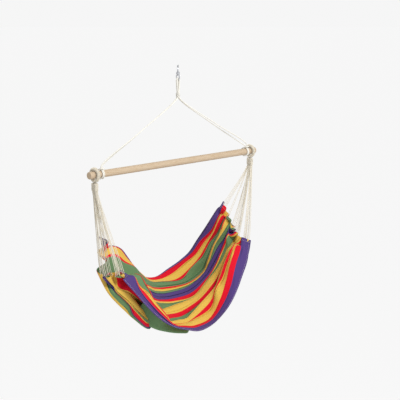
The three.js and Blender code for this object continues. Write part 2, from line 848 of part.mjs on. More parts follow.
const cordRadius = cordDiameter / 2;
const bightRadius = (clothThickness / 2 + 3 * clearance + cordRadius) / Math.cos(Math.PI / 8);

// One leg's foot beside the cloth: past the cut end, on either face.
function legFoot({ edge, out, normal }, way, beyond) {
  return edge.clone().addScaledVector(normal, way * bightRadius).addScaledVector(out, beyond);
}

// The two legs of a hairpin from the neck's lower end to the cloth, for its place and its turn in the neck.
function legLines(side, seat, { row, column, turned }) {
  return [1, -1].map((way) => {
    const lane = (way > 0) === turned ? 1 : 0;
    const x = side * (barHalf - eyeInset) + (2 * column + lane - 1.5) * cordPitch;
    const y = (row - (cordRows - 1) / 2) * cordPitch;
    const top = new THREE.Vector3(x, y, neckTop - servingCord * 2 - neckLength);
    return new THREE.Line3(top, legFoot(seat, way, legRise));
  });
}

// Each hairpin's place in the neck. They start in the order of their seats from front to back, and change
// places or turn over as long as that leaves more room between the legs.
function neckPlaces(side) {
  const seats = [];
  for (let k = 0; k < cordsPerEnd; k++) seats.push(cordSeat(side, k));
  const order = seats.map((_, k) => k).sort((a, b) => seats[a].edge.y - seats[b].edge.y);
  const places = [];
  order.forEach((k, n) => {
    places[k] = { row: Math.floor(n / 2), column: n % 2, turned: seats[k].normal.x > 0 };
  });
  const crowding = () => {
    const legs = places.map((place, k) => legLines(side, seats[k], place));
    let total = 0;
    for (let a = 0; a < cordsPerEnd; a++) {
      for (let b = 0; b < a; b++) {
        for (const one of legs[a]) {
          for (const other of legs[b]) {
            total += Math.max(legRoom - Math.sqrt(one.distanceSqToLine3(other)), 0);
          }
        }
      }
      total += Math.max(legRoom - Math.sqrt(legs[a][0].distanceSqToLine3(legs[a][1])), 0);
    }
    return total;
  };
  let best = crowding();
  const keep = (undo) => {
    const now = crowding();
    if (now < best) {
      best = now;
      return true;
    }
    undo();
    return false;
  };
  let improved = true;
  while (improved) {
    improved = false;
    for (let a = 0; a < cordsPerEnd; a++) {
      const flip = () => {
        places[a].turned = !places[a].turned;
      };
      flip();
      if (keep(flip)) improved = true;
      for (let b = 0; b < a; b++) {
        const swap = () => {
          [places[a], places[b]] = [places[b], places[a]];
        };
        swap();
        if (keep(swap)) improved = true;
      }
    }
  }
  return places;
}

function cordPath(side, k, place) {
  const seat = cordSeat(side, k);
  const legs = legLines(side, seat, place).map((line, i) => {
    const top = line.start.clone().setZ(neckTop - clearance);
    return [top, line.start, line.end, legFoot(seat, i ? -1 : 1, bightRadius - holeInset)];
  });
  const bight = [];
  for (let i = 1; i < 4; i++) {
    const angle = (i * Math.PI) / 4;
    const point = seat.edge.clone().addScaledVector(seat.normal, bightRadius * Math.cos(angle));
    bight.push(point.addScaledVector(seat.out, bightRadius - holeInset - bightRadius * Math.sin(angle)));
  }
  return [...legs[0], ...bight, ...legs[1].reverse()];
}

const cordPaths = [];
for (const [name, side] of sides) {
  neckPlaces(side).forEach((place, k) => {
    const number = String(k + 1).padStart(2, "0");
    cordPaths.push([`${name}_cord_${number}`, cordPath(side, k, place), cordSeat(side, k)]);
  });
}

// Each cord's hole through the cloth, and the bed that it presses into the folds beside it.
function cutCordHoles(geometry) {
  let cloth = solidOf(geometry);
  const holeRadius = (cordDiameter + holeClearance) / 2;
  const length = clothThickness + 2 * overrun;
  for (const [, path, { edge, out, normal }] of cordPaths) {
    const hole = new THREE.CylinderGeometry(holeRadius, holeRadius, length, 4);
    const turn = new THREE.Quaternion().setFromUnitVectors(new THREE.Vector3(0, 1, 0), normal);
    const place = edge.clone().addScaledVector(out, -holeInset);
    hole.applyQuaternion(turn).translate(place.x, place.y, place.z);
    cloth = cloth.subtract(solidOf(hole)).subtract(solidOf(tube(path, cordRadius + clearance, 5)));
  }
  return geometryOf(cloth);
}

addPiece("seat_cloth", cutCordHoles(makeCloth()), stripes);
for (const [name, path] of cordPaths) addPiece(name, tube(path, cordRadius, 5), cotton);

export default chair;
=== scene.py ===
# %% [markdown]
# A hammock chair hangs from one steel swivel. A rope bridle spreads down to a wooden bar, cords
# run from an eye at each end of the bar, and a long striped cloth is laced to the cords. The
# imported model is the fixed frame: each piece below takes its place from it and gets a finer form.
# Only the cloth also hangs in folds of its own.

# %% Load the frame
import math
import bmesh
import bpy
import numpy as np
from mathutils import Matrix, Vector


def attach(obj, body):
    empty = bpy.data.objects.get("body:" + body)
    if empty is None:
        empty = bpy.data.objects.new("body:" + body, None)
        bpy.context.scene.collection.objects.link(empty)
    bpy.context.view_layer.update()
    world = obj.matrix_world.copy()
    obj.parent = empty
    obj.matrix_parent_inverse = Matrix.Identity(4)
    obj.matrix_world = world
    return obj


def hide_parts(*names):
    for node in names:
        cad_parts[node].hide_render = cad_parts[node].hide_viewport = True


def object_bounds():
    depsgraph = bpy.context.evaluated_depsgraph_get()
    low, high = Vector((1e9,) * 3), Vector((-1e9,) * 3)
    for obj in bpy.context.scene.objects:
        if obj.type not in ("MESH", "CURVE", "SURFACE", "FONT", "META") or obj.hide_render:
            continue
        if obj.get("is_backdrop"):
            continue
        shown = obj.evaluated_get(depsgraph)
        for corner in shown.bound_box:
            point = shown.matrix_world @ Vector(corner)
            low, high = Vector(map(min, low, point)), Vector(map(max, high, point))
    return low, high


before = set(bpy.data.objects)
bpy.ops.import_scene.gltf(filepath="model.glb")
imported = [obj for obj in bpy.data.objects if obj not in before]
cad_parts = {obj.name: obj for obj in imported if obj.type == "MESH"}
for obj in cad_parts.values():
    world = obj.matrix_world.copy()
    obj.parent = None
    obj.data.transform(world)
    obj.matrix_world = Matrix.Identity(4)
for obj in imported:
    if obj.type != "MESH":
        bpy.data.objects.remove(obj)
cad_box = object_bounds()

print("box:", [round(v, 3) for corner in cad_box for v in corner])

# %% [markdown]
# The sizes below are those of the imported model, but for the cloth, which is a little thinner
# here. Everything that touches or passes through something else takes its size from them, so the
# finer pieces keep to the plain ones.

# %% Driving sizes, in metres
clearance = 0.0003
bar_length, bar_diameter, bar_drop = 1.0, 0.030, 0.411
bow_rod, bow_width, bow_height, bow_turn = 0.006, 0.033, 0.034, math.pi / 4
boss_diameter, boss_height, shank_diameter = 0.015, 0.009, 0.008
head_diameter, head_height = 0.012, 0.0045
shoulder_diameter, shoulder_height = 0.012, 0.0025
eye_rod, eye_corner = 0.005, 0.0046
eye_hole_width, eye_hole_height = 0.0124, 0.0134
rope_diameter, rope_gap = 0.0055, 0.0004
seizing_drop, seizing_turns, winding_gap = 0.122, 6, 0.0006
hitch_inset, leg_spread = 0.062, 0.005
eye_inset, eye_core, serving_cord = 0.030, 0.0104, 0.002
neck_length, cord_diameter, cord_gap, cord_rows = 0.030, 0.0026, 0.0008, 7
cloth_width, cloth_length, sheet_thickness = 0.823, 1.12, 0.0012
seat_drop, seat_depth = 0.740, 0.250

bar_half, bar_radius = bar_length / 2, bar_diameter / 2
bow_top = bow_rod / 2
bow_base = bow_top - bow_height
eye_top = bow_base - boss_height / 2 - clearance - shoulder_height
eye_bottom = eye_top - eye_rod / 2 - eye_hole_height
rope_radius = rope_diameter / 2
strand_offset = (rope_diameter + rope_gap) / 2
print("bar", bar_length, "m long,", bar_drop, "m below the hook")

# %% [markdown]
# The camera comes first, because the cords and the cloth are judged against the frame that it
# gives. A long lens from about four metres away, a little above the hook and looking 11 degrees
# down, keeps the bar almost straight and shows both the inside and the underside of the seat.

# %% Camera
camera_data = bpy.data.cameras.new("camera")
camera_data.lens = 90
camera_data.sensor_width = 36
picture_size = 400
view_focal = picture_size * camera_data.lens / camera_data.sensor_width
camera = bpy.data.objects.new("camera", camera_data)
bpy.context.scene.collection.objects.link(camera)
turned, tipped = 0.8044431861288072, 0.19202525718230948
sight = Vector((math.sin(turned) * math.cos(tipped), math.cos(turned) * math.cos(tipped),
                -math.sin(tipped)))
camera.location = (-3.0108, -3.0285, 0.2517)
camera.rotation_euler = sight.to_track_quat("-Z", "Y").to_euler()
bpy.context.scene.camera = camera
print("camera looks along", [round(v, 3) for v in sight])

# %% [markdown]
# A chair on a white page has almost no shadow of its own. One broad light from above the camera's
# right shoulder models the folds, a weaker one from the far right opens the shadows, one from
# behind parts the chair from its ground, and a pale sky does the rest. The sky is a little
# brighter to the camera than to the chair, so the page stays white without washing out the
# colours. The floor lies well below the seat, so the soft shadow on it falls outside the picture.

# %% Floor and light
seat_middle = Vector((0, 0, -0.75))
lights = {"key_light": ((-0.7, -3.0, 2.3), 1.4, 125),
          "fill_light": ((1.8, -3.2, 0.4), 2.4, 18),
          "back_light": ((1.5, 3.0, 1.2), 2.0, 22)}
for name, (place, size, power) in lights.items():
    data = bpy.data.lights.new(name, "AREA")
    data.shape = "DISK"
    data.size = size
    data.energy = power
    lamp = bpy.data.objects.new(name, data)
    bpy.context.scene.collection.objects.link(lamp)
    lamp.location = place
    lamp.rotation_euler = (seat_middle - Vector(place)).to_track_quat("-Z", "Y").to_euler()

sky_grey, sky_strength, sky_seen_more = 0.92, 0.6, 0.4
world = bpy.data.worlds.new("studio")
world.use_nodes = True
sky = world.node_tree.nodes
sky["Background"].inputs["Color"].default_value = (sky_grey, sky_grey, sky_grey, 1)
sky_power = sky.new("ShaderNodeMath")
sky_power.operation = "MULTIPLY_ADD"
sky_power.inputs[1].default_value = sky_seen_more
sky_power.inputs[2].default_value = sky_strength
seen_by = sky.new("ShaderNodeLightPath")
world.node_tree.links.new(seen_by.outputs["Is Camera Ray"], sky_power.inputs[0])
world.node_tree.links.new(sky_power.outputs[0], sky["Background"].inputs["Strength"])
bpy.context.scene.world = world
bpy.context.scene.view_settings.view_transform = "Standard"

floor_reach, floor_drop, floor_white, floor_glow = 400, 8, 0.97, 0.39
floor_mesh = bpy.data.meshes.new("floor")
floor_shape = bmesh.new()
bmesh.ops.create_circle(floor_shape, cap_ends=True, segments=96, radius=floor_reach)
floor_shape.to_mesh(floor_mesh)
floor_shape.free()
floor_mesh.transform(Matrix.Translation((0, 0, -floor_drop)))
floor = bpy.data.objects.new("floor", floor_mesh)
bpy.context.scene.collection.objects.link(floor)
floor_paint = bpy.data.materials.new("floor_paint")
floor_paint.use_nodes = True
paint = floor_paint.node_tree.nodes["Principled BSDF"].inputs
paint["Base Color"].default_value = (floor_white, floor_white, floor_white, 1)
paint["Roughness"].default_value = 0.9
paint["Specular IOR Level"].default_value = 0.0
paint["Emission Color"].default_value = (1, 1, 1, 1)
paint["Emission Strength"].default_value = floor_glow
floor_mesh.materials.append(floor_paint)
floor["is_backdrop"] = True
print(len(lights), "lights, sky and floor")

# %% [markdown]
# Every finish here is spun, woven, planed or plated, and none of them is one flat colour. Two
# effects are shared, so each is a node group built once: fibres, which mottles a colour and
# roughens its surface at two sizes, and weave, which raises crossing yarns on a surface with its
# own UV map.

# %% Shader helpers
def linear(*screen_colour):
    """A colour given as seen on a screen, 0 to 255, in the linear values that a shader takes."""
    shares = [value / 255 for value in screen_colour]
    return (*(share / 12.92 if share <= 0.04045 else ((share + 0.055) / 1.055) ** 2.4
              for share in shares), 1)


def new_group(name, inputs, outputs):
    group = bpy.data.node_groups.new(name, "ShaderNodeTree")
    for label, kind, value in inputs:
        socket = group.interface.new_socket(label, in_out="INPUT", socket_type=kind)
        if value is not None:
            socket.default_value = value
    for label, kind in outputs:
        group.interface.new_socket(label, in_out="OUTPUT", socket_type=kind)
    return group, group.nodes.new("NodeGroupInput"), group.nodes.new("NodeGroupOutput")


def fill(links, node, values):
    """Each input named in values is set to its value, or linked to the socket given for it."""
    for label, value in values.items():
        if isinstance(value, bpy.types.NodeSocket):
            links.new(value, node.inputs[label])
        elif value is not None:
            node.inputs[label].default_value = value


def add_node(nodes, links, kind, values):
    node = nodes.new(kind)
    fill(links, node, values)
    return node


def math_node(nodes, links, operation, first, second=None, third=None):
    node = nodes.new("ShaderNodeMath")
    node.operation = operation
    fill(links, node, {0: first, 1: second, 2: third})
    return node.outputs[0]


def mix_colours(nodes, links, factor, first, second):
    node = nodes.new("ShaderNodeMix")
    node.data_type = "RGBA"
    fill(links, node, {0: factor, 6: first, 7: second})
    return node.outputs[2]


def colour_ramp(nodes, links, factor, stops, interpolation="LINEAR"):
    """The colour that stops, each a position and a colour, give for a factor."""
    node = add_node(nodes, links, "ShaderNodeValToRGB", {"Fac": factor})
    node.color_ramp.interpolation = interpolation
    elements = node.color_ramp.elements
    elements[0].position, elements[0].color = stops[0]
    elements[1].position, elements[1].color = stops[-1]
    for position, colour in stops[1:-1]:
        elements.new(position).color = colour
    return node.outputs["Color"]


fibres, fibres_in, fibres_out = new_group(
    "fibres",
    [("Vector", "NodeSocketVector", None), ("Base", "NodeSocketColor", (1, 1, 1, 1)),
     ("Shade", "NodeSocketColor", (0, 0, 0, 1)), ("Coarse Scale", "NodeSocketFloat", 60.0),
     ("Fine Scale", "NodeSocketFloat", 900.0), ("Strength", "NodeSocketFloat", 0.5)],
    [("Color", "NodeSocketColor"), ("Height", "NodeSocketFloat")])
fn, fl = fibres.nodes, fibres.links
coarse, fine = [add_node(fn, fl, "ShaderNodeTexNoise", {
    "Vector": fibres_in.outputs["Vector"], "Scale": fibres_in.outputs[scale],
    "Detail": detail}) for scale, detail in (("Coarse Scale", 3), ("Fine Scale", 2))]
height = math_node(fn, fl, "MULTIPLY", coarse.outputs["Fac"], 0.45)
height = math_node(fn, fl, "MULTIPLY_ADD", fine.outputs["Fac"], 0.55, height)
amount = math_node(fn, fl, "SUBTRACT", 1.0, height)
amount = math_node(fn, fl, "MULTIPLY", amount, fibres_in.outputs["Strength"])
mottled = mix_colours(fn, fl, amount, fibres_in.outputs["Base"], fibres_in.outputs["Shade"])
fill(fl, fibres_out, {"Color": mottled, "Height": height})

weave, weave_in, weave_out = new_group(
    "weave",
    [("UV", "NodeSocketVector", None), ("Warp Yarns", "NodeSocketFloat", 400.0),
     ("Weft Yarns", "NodeSocketFloat", 400.0)],
    [("Height", "NodeSocketFloat"), ("Weft Up", "NodeSocketFloat")])
wn, wl = weave.nodes, weave.links
split = add_node(wn, wl, "ShaderNodeSeparateXYZ", {0: weave_in.outputs["UV"]})
along = math_node(wn, wl, "MULTIPLY", split.outputs["X"], weave_in.outputs["Weft Yarns"])
across = math_node(wn, wl, "MULTIPLY", split.outputs["Y"], weave_in.outputs["Warp Yarns"])


def yarn_hump(place):
    half_turns = math_node(wn, wl, "MULTIPLY", place, math.pi)
    return math_node(wn, wl, "ABSOLUTE", math_node(wn, wl, "SINE", half_turns))


cell_sum = math_node(wn, wl, "ADD", math_node(wn, wl, "FLOOR", along),
                     math_node(wn, wl, "FLOOR", across))
weft_up = math_node(wn, wl, "GREATER_THAN", math_node(wn, wl, "MODULO", cell_sum, 2.0), 0.5)
warp_up = math_node(wn, wl, "SUBTRACT", 1.0, weft_up)
weft_height = math_node(wn, wl, "MULTIPLY", yarn_hump(along), weft_up)
warp_height = math_node(wn, wl, "MULTIPLY", yarn_hump(across), warp_up)
higher = math_node(wn, wl, "ADD", weft_height, warp_height)
fill(wl, weave_out, {"Height": higher, "Weft Up": weft_up})
print("node groups:", [group.name for group in bpy.data.node_groups])

# %% [markdown]
# Cord, rope and thread are the same cotton, from cream to tan, spun tighter or looser. The swivel
# is plated steel, bright but faintly clouded. The bar is pale wood: growth rings are drawn out
# along it, and short dark pores run the same way.

# %% Materials
def new_material(name):
    material = bpy.data.materials.new(name)
    material.use_nodes = True
    tree = material.node_tree
    return material, tree.nodes, tree.links, tree.nodes["Principled BSDF"]


def place_group(nodes, links, group, values):
    node = nodes.new("ShaderNodeGroup")
    node.node_tree = group
    fill(links, node, values)
    return node


def add_bump(nodes, links, shader, height, strength, distance):
    bump = add_node(nodes, links, "ShaderNodeBump",
                    {"Strength": strength, "Distance": distance, "Height": height})
    links.new(bump.outputs["Normal"], shader.inputs["Normal"])


def cotton_material(name, base, shade):
    material, nodes, links, shader = new_material(name)
    where = nodes.new("ShaderNodeTexCoord")
    spun = place_group(nodes, links, fibres, {
        "Vector": where.outputs["Object"], "Base": base, "Shade": shade,
        "Coarse Scale": 55.0, "Fine Scale": 1400.0, "Strength": 0.5})
    fill(links, shader, {
        "Base Color": spun.outputs["Color"], "Roughness": 0.95, "Specular IOR Level": 0.15,
        "Sheen Weight": 0.25, "Sheen Roughness": 0.6})
    add_bump(nodes, links, shader, spun.outputs["Height"], 0.35, 0.0004)
    return material


cord_cotton = cotton_material("cord_cotton", linear(236, 230, 215), linear(184, 171, 146))
rope_cotton = cotton_material("rope_cotton", linear(238, 236, 229), linear(190, 184, 168))
thread_cotton = cotton_material("thread_cotton", linear(236, 226, 204), linear(170, 150, 120))

plated_steel, nodes, links, shader = new_material("plated_steel")
where = nodes.new("ShaderNodeTexCoord")
clouds = place_group(nodes, links, fibres, {
    "Vector": where.outputs["Object"],
    "Base": linear(206, 208, 212), "Shade": linear(120, 122, 126),
    "Coarse Scale": 160.0, "Fine Scale": 1500.0, "Strength": 0.35})
dulled = math_node(nodes, links, "MULTIPLY_ADD", clouds.outputs["Height"], 0.25, 0.18)
fill(links, shader, {
    "Base Color": clouds.outputs["Color"], "Roughness": dulled, "Metallic": 1.0})
add_bump(nodes, links, shader, clouds.outputs["Height"], 0.12, 0.0003)

bar_wood, nodes, links, shader = new_material("bar_wood")
where = nodes.new("ShaderNodeTexCoord")
stretch = add_node(nodes, links, "ShaderNodeMapping",
                   {"Vector": where.outputs["Object"], "Scale": (1.6, 26, 26)})
swirl = add_node(nodes, links, "ShaderNodeTexNoise", {
    "Vector": stretch.outputs["Vector"], "Scale": 3.2, "Detail": 4, "Distortion": 0.6})
growth = math_node(nodes, links, "MULTIPLY", swirl.outputs["Fac"], 9.0)
rings = math_node(nodes, links, "FRACT", growth)
growth_colour = colour_ramp(nodes, links, rings, [
    (0.0, linear(199, 181, 157)), (0.72, linear(193, 173, 147)), (1.0, linear(178, 154, 120))])
pores = add_node(nodes, links, "ShaderNodeMapping",
                 {"Vector": where.outputs["Object"], "Scale": (30, 900, 900)})
grain = add_node(nodes, links, "ShaderNodeTexNoise",
                 {"Vector": pores.outputs["Vector"], "Scale": 1.0, "Detail": 3})
pore_amount = math_node(nodes, links, "MULTIPLY", grain.outputs["Fac"], 0.35)
streak = mix_colours(nodes, links, pore_amount, growth_colour, linear(157, 127, 93))
sanded = math_node(nodes, links, "MULTIPLY_ADD", grain.outputs["Fac"], 0.2, 0.45)
fill(links, shader, {"Base Color": streak, "Roughness": sanded, "Specular IOR Level": 0.35})
add_bump(nodes, links, shader, grain.outputs["Fac"], 0.25, 0.0004)
print("cord, rope, thread, steel and wood finishes")

# %% [markdown]
# The cloth is woven in bands of dyed warp, and its weft is one plain colour, so each band is a
# little mottled. The bands run from the front edge to the back edge across the UV map, in shares
# of the width. A wide band is given in two shares, because it has a fold within it at the two
# ends.

# %% Cloth bands and their material
purple, red = linear(84, 64, 130), linear(230, 6, 42)
yellow, green = linear(236, 194, 86), linear(106, 142, 98)
weft_yarn, weft_seen = linear(225, 200, 130), 0.02
fold_shadow = (0.02, 0.015, 0.02, 1)
band_shares = [0.034, 0.041, 0.039, 0.015, 0.055, 0.016, 0.055, 0.061, 0.024,
               0.056, 0.051, 0.036, 0.015, 0.036, 0.051, 0.051, 0.034, 0.027,
               0.012, 0.046, 0.046, 0.022, 0.063, 0.044, 0.07]
band_colours = [purple, purple, red, yellow, yellow, red, yellow, green, red,
                yellow, yellow, green, yellow, red, purple, purple, green, yellow,
                red, green, green, red, yellow, red, purple]

striped_cloth, nodes, links, shader = new_material("striped_cloth")
laid_out = nodes.new("ShaderNodeUVMap")
laid_out.uv_map = "cut"
split_cut = add_node(nodes, links, "ShaderNodeSeparateXYZ", {0: laid_out.outputs["UV"]})
edge = 0.0
stops = []
for share, colour in zip(band_shares, band_colours):
    if not stops or stops[-1][1] != colour:
        stops.append((edge / sum(band_shares), colour))
    edge += share
bands = colour_ramp(nodes, links, split_cut.outputs["Y"], stops, "CONSTANT")
metric = add_node(nodes, links, "ShaderNodeMapping",
                  {"Vector": laid_out.outputs["UV"], "Scale": (cloth_length, cloth_width, 1)})
woven = place_group(nodes, links, weave, {
    "UV": laid_out.outputs["UV"], "Warp Yarns": 620.0, "Weft Yarns": 760.0})
weft_amount = math_node(nodes, links, "MULTIPLY", woven.outputs["Weft Up"], weft_seen)
mixed = mix_colours(nodes, links, weft_amount, bands, weft_yarn)
slubs = place_group(nodes, links, fibres, {
    "Vector": metric.outputs["Vector"], "Base": mixed, "Shade": fold_shadow,
    "Coarse Scale": 160.0, "Fine Scale": 1100.0, "Strength": 0.30})
fill(links, shader, {
    "Base Color": slubs.outputs["Color"], "Roughness": 0.92, "Specular IOR Level": 0.06,
    "Sheen Weight": 0.05, "Sheen Roughness": 0.5})
yarn_relief = math_node(nodes, links, "MULTIPLY", woven.outputs["Height"], 0.6)
relief = math_node(nodes, links, "MULTIPLY_ADD", slubs.outputs["Height"], 0.5, yarn_relief)
add_bump(nodes, links, shader, relief, 0.45, 0.0005)
print(len(stops), "bands of four colours")

# %% [markdown]
# A turned piece is a profile carried round an axis, and a bent rod is a circle carried along a
# path. Both are short enough to be written out as points and faces, with every vertex where it is
# wanted. A path is smoothed by a centripetal curve, which passes through each point without
# overshooting.

# %% Mesh helpers
def shown(name, data):
    piece = bpy.data.objects.new(name, data)
    bpy.context.scene.collection.objects.link(piece)
    return piece


def finished(name, mesh, material):
    mesh.materials.append(material)
    mesh.update()
    mesh.shade_smooth()
    return shown(name, mesh)


def new_piece(name, points, faces, material):
    mesh = bpy.data.meshes.new(name)
    mesh.from_pydata([tuple(p) for p in points], [], faces)
    return finished(name, mesh, material)


def joined(name, parts, material):
    shape = bmesh.new()
    for part in parts:
        shape.from_mesh(part.data)
    mesh = bpy.data.meshes.new(name)
    bmesh.ops.recalc_face_normals(shape, faces=shape.faces)
    shape.to_mesh(mesh)
    shape.free()
    for part in parts:
        old = part.data
        bpy.data.objects.remove(part)
        bpy.data.meshes.remove(old)
    return finished(name, mesh, material)


def smooth_path(points, step, closed=False):
    """A dense path on one smooth curve through the points, at about the same step all along."""
    points = np.array(points, float)
    count = len(points)
    spans = count if closed else count - 1
    dense = []
    for i in range(spans):
        around = np.arange(i - 1, i + 3)
        p0, p1, p2, p3 = points[around % count if closed else np.clip(around, 0, count - 1)]
        knots = [0.0]
        for a, b in ((p0, p1), (p1, p2), (p2, p3)):
            knots.append(knots[-1] + max(np.linalg.norm(b - a) ** 0.5, 1e-4))
        t0, t1, t2, t3 = knots
        steps = max(int(np.linalg.norm(p2 - p1) / step), 1)
        for t in np.linspace(t1, t2, steps, endpoint=False):
            a1 = (t1 - t) / (t1 - t0) * p0 + (t - t0) / (t1 - t0) * p1
            a2 = (t2 - t) / (t2 - t1) * p1 + (t - t1) / (t2 - t1) * p2
            a3 = (t3 - t) / (t3 - t2) * p2 + (t - t2) / (t3 - t2) * p3
            b1 = (t2 - t) / (t2 - t0) * a1 + (t - t0) / (t2 - t0) * a2
            b2 = (t3 - t) / (t3 - t1) * a2 + (t - t1) / (t3 - t1) * a3
            dense.append((t2 - t) / (t2 - t1) * b1 + (t - t1) / (t2 - t1) * b2)
    if not closed:
        dense.append(points[-1])
    return np.array(dense)


def lathe(name, profile, material, sides=48, bored=False):
    """A turned piece, closed by a face at each end, or bored, its profile closed on itself."""
    points, faces = [], []
    for radius, height in profile:
        for k in range(sides):
            angle = 2 * math.pi * k / sides
            points.append((radius * math.cos(angle), radius * math.sin(angle), height))
    for i in range(len(profile) - (0 if bored else 1)):
        j = (i + 1) % len(profile)
        for k in range(sides):
            n = (k + 1) % sides
            faces.append((i * sides + k, i * sides + n, j * sides + n, j * sides + k))
    if not bored:
        faces.append(tuple(reversed(range(sides))))
        faces.append(tuple(range((len(profile) - 1) * sides, len(profile) * sides)))
    return new_piece(name, points, faces, material)


def smooth_step(value):
    value = min(max(value, 0), 1)
    return value * value * (3 - 2 * value)


def rounded_loop(half_x, half_y, corner, per_corner=6):
    """A rectangle with round corners, as points round the origin."""
    loop = []
    for quarter, (sx, sy) in enumerate(((1, 1), (-1, 1), (-1, -1), (1, -1))):
        for i in range(per_corner + 1):
            angle = (quarter + i / per_corner) * math.pi / 2
            loop.append((sx * (half_x - corner) + corner * math.cos(angle),
                         sy * (half_y - corner) + corner * math.sin(angle)))
    return loop


def ring_tube(name, path, radius, material, sides=24):
    """A closed tube round a flat ring of points."""
    path = np.array(path)
    count = len(path)
    centre = path.mean(axis=0)
    flat = np.cross(path[0] - centre, path[count // 4] - centre)
    flat /= np.linalg.norm(flat)
    points, faces = [], []
    for i in range(count):
        tangent = path[(i + 1) % count] - path[i - 1]
        tangent /= np.linalg.norm(tangent)
        out = np.cross(tangent, flat)
        for k in range(sides):
            angle = 2 * math.pi * k / sides
            points.append(path[i] + radius * (math.cos(angle) * out + math.sin(angle) * flat))
    for i in range(count):
        j = (i + 1) % count
        for k in range(sides):
            n = (k + 1) % sides
            faces.append((i * sides + k, j * sides + k, j * sides + n, i * sides + n))
    return new_piece(name, points, faces, material)


print("helpers for paths, lathes and rings")

# %% [markdown]
# The swivel is a bow of bent rod with a bored boss, and a pin with an eye that turns in the boss.
# The bow's rod is a round section carried along its outline, and the pin is turned, as both
# really are.

# %% Swivel
softening, edge_softening, tip_radius = 0.0006, 0.0003, 0.0004
half_outline = [(0, 0), (0.26, 0.04), (0.56, 0.14), (0.82, 0.3), (0.97, 0.5), (1, 0.72),
                (0.99, 0.9), (0.88, 1)]
right_side = [(across * bow_width / 2, 0, bow_top - down * bow_height)
              for across, down in half_outline]
left_side = [(-x, y, z) for x, y, z in reversed(right_side[1:])]
bow_path = smooth_path(right_side + left_side, step=0.0012, closed=True)
bow_ring = ring_tube("bow_ring", bow_path, bow_rod / 2, plated_steel)
boss_outer, boss_bore = boss_diameter / 2, shank_diameter / 2 + clearance
boss_top, boss_foot = bow_base + boss_height / 2, bow_base - boss_height / 2
boss_profile = [(boss_bore, boss_foot), (boss_outer - softening, boss_foot),
                (boss_outer, boss_foot + softening), (boss_outer, boss_top - softening),
                (boss_outer - softening, boss_top), (boss_bore, boss_top)]
boss_ring = lathe("boss_ring", boss_profile, plated_steel, bored=True)
bow = joined("bow", [bow_ring, boss_ring], plated_steel)
bow.data.transform(Matrix.Rotation(bow_turn, 4, "Z"))
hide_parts("swivel_bow")
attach(bow, "swivel_bow")

head_foot = boss_top + clearance
shoulder_top = boss_foot - clearance
shoulder_radius, head_radius, rod_radius = shoulder_diameter / 2, head_diameter / 2, eye_rod / 2
pin_foot = eye_top - rod_radius
pin_profile = [(tip_radius, pin_foot), (rod_radius, pin_foot),
               (shoulder_radius, shoulder_top - shoulder_height / 2),
               (shoulder_radius, shoulder_top - edge_softening),
               (shoulder_radius - edge_softening, shoulder_top),
               (shank_diameter / 2, shoulder_top), (shank_diameter / 2, head_foot),
               (head_radius - edge_softening, head_foot),
               (head_radius, head_foot + edge_softening)]
dome_shares = [(1, 0.5), (0.92, 0.78), (0.68, 0.95)]
pin_profile += [(head_radius * out, head_foot + head_height * up) for out, up in dome_shares]
pin_profile += [(tip_radius, head_foot + head_height)]
pin = lathe("pin", pin_profile, plated_steel)
eye_middle = eye_top - rod_radius - eye_hole_height / 2
eye_outline = rounded_loop((eye_hole_width + eye_rod) / 2, (eye_hole_height + eye_rod) / 2,
                           eye_corner, per_corner=8)
eye_loop = [(0, across, eye_middle + up) for across, up in eye_outline]
eye_ring = ring_tube("eye_ring", eye_loop, rod_radius, plated_steel)
swivel_eye_piece = joined("pin_and_eye", [pin, eye_ring], plated_steel)
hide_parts("swivel_eye")
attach(swivel_eye_piece, "swivel_eye")
print("swivel:", len(bow.data.polygons) + len(swivel_eye_piece.data.polygons), "faces")

# %% [markdown]
# The bar is a plain turned rod of pale wood with its ends softened by sanding. The profile is
# turned with a slight waver in its radius, as a sanded rod has, and then laid on its side.

# %% Spreader bar
end_round, end_steps = 0.003, 6
waver_share, waver_reach, waver_points, waver_rate = 0.006, 0.4, 17, 23
bar_profile = [(tip_radius, -bar_half)]
for i in range(end_steps + 1):
    angle = i / end_steps * math.pi / 2
    bar_profile.append((bar_radius - end_round + end_round * math.sin(angle),
                        -bar_half + end_round - end_round * math.cos(angle)))
far_end = [(radius, -height) for radius, height in reversed(bar_profile)]
for x in np.linspace(-waver_reach, waver_reach, waver_points):
    waver = waver_share * abs(math.sin(waver_rate * x + 1))
    bar_profile.append((bar_radius * (1 - waver), x))
bar = lathe("bar", bar_profile + far_end, bar_wood, sides=64)
bar.data.transform(Matrix.Translation((0, 0, -bar_drop)) @ Matrix.Rotation(math.pi / 2, 4, "Y"))
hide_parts("spreader_bar")
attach(bar, "bridle")
print("bar:", len(bar.data.polygons), "faces")

# %% [markdown]
# Rope and cord are laid from three strands twisted round each other. A Geometry Nodes tree winds
# three copies of the path round the path itself and gives each a round section, so that one tree
# with other sizes makes the rope, the cords and the thin line of the wrappings.

# %% Geometry Nodes: a laid rope along a path
def new_tree(name, inputs):
    tree = bpy.data.node_groups.new(name, "GeometryNodeTree")
    tree.interface.new_socket("Geometry", in_out="INPUT", socket_type="NodeSocketGeometry")
    for label, kind, value in inputs:
        socket = tree.interface.new_socket(label, in_out="INPUT", socket_type=kind)
        if value is not None:
            socket.default_value = value
    tree.interface.new_socket("Geometry", in_out="OUTPUT", socket_type="NodeSocketGeometry")
    return tree, tree.nodes.new("NodeGroupInput"), tree.nodes.new("NodeGroupOutput")


def vector_node(tree, operation, first, second=None, scale=None):
    node = tree.nodes.new("ShaderNodeVectorMath")
    node.operation = operation
    fill(tree.links, node, {0: first, 1: second, "Scale": scale})
    return node.outputs[0]


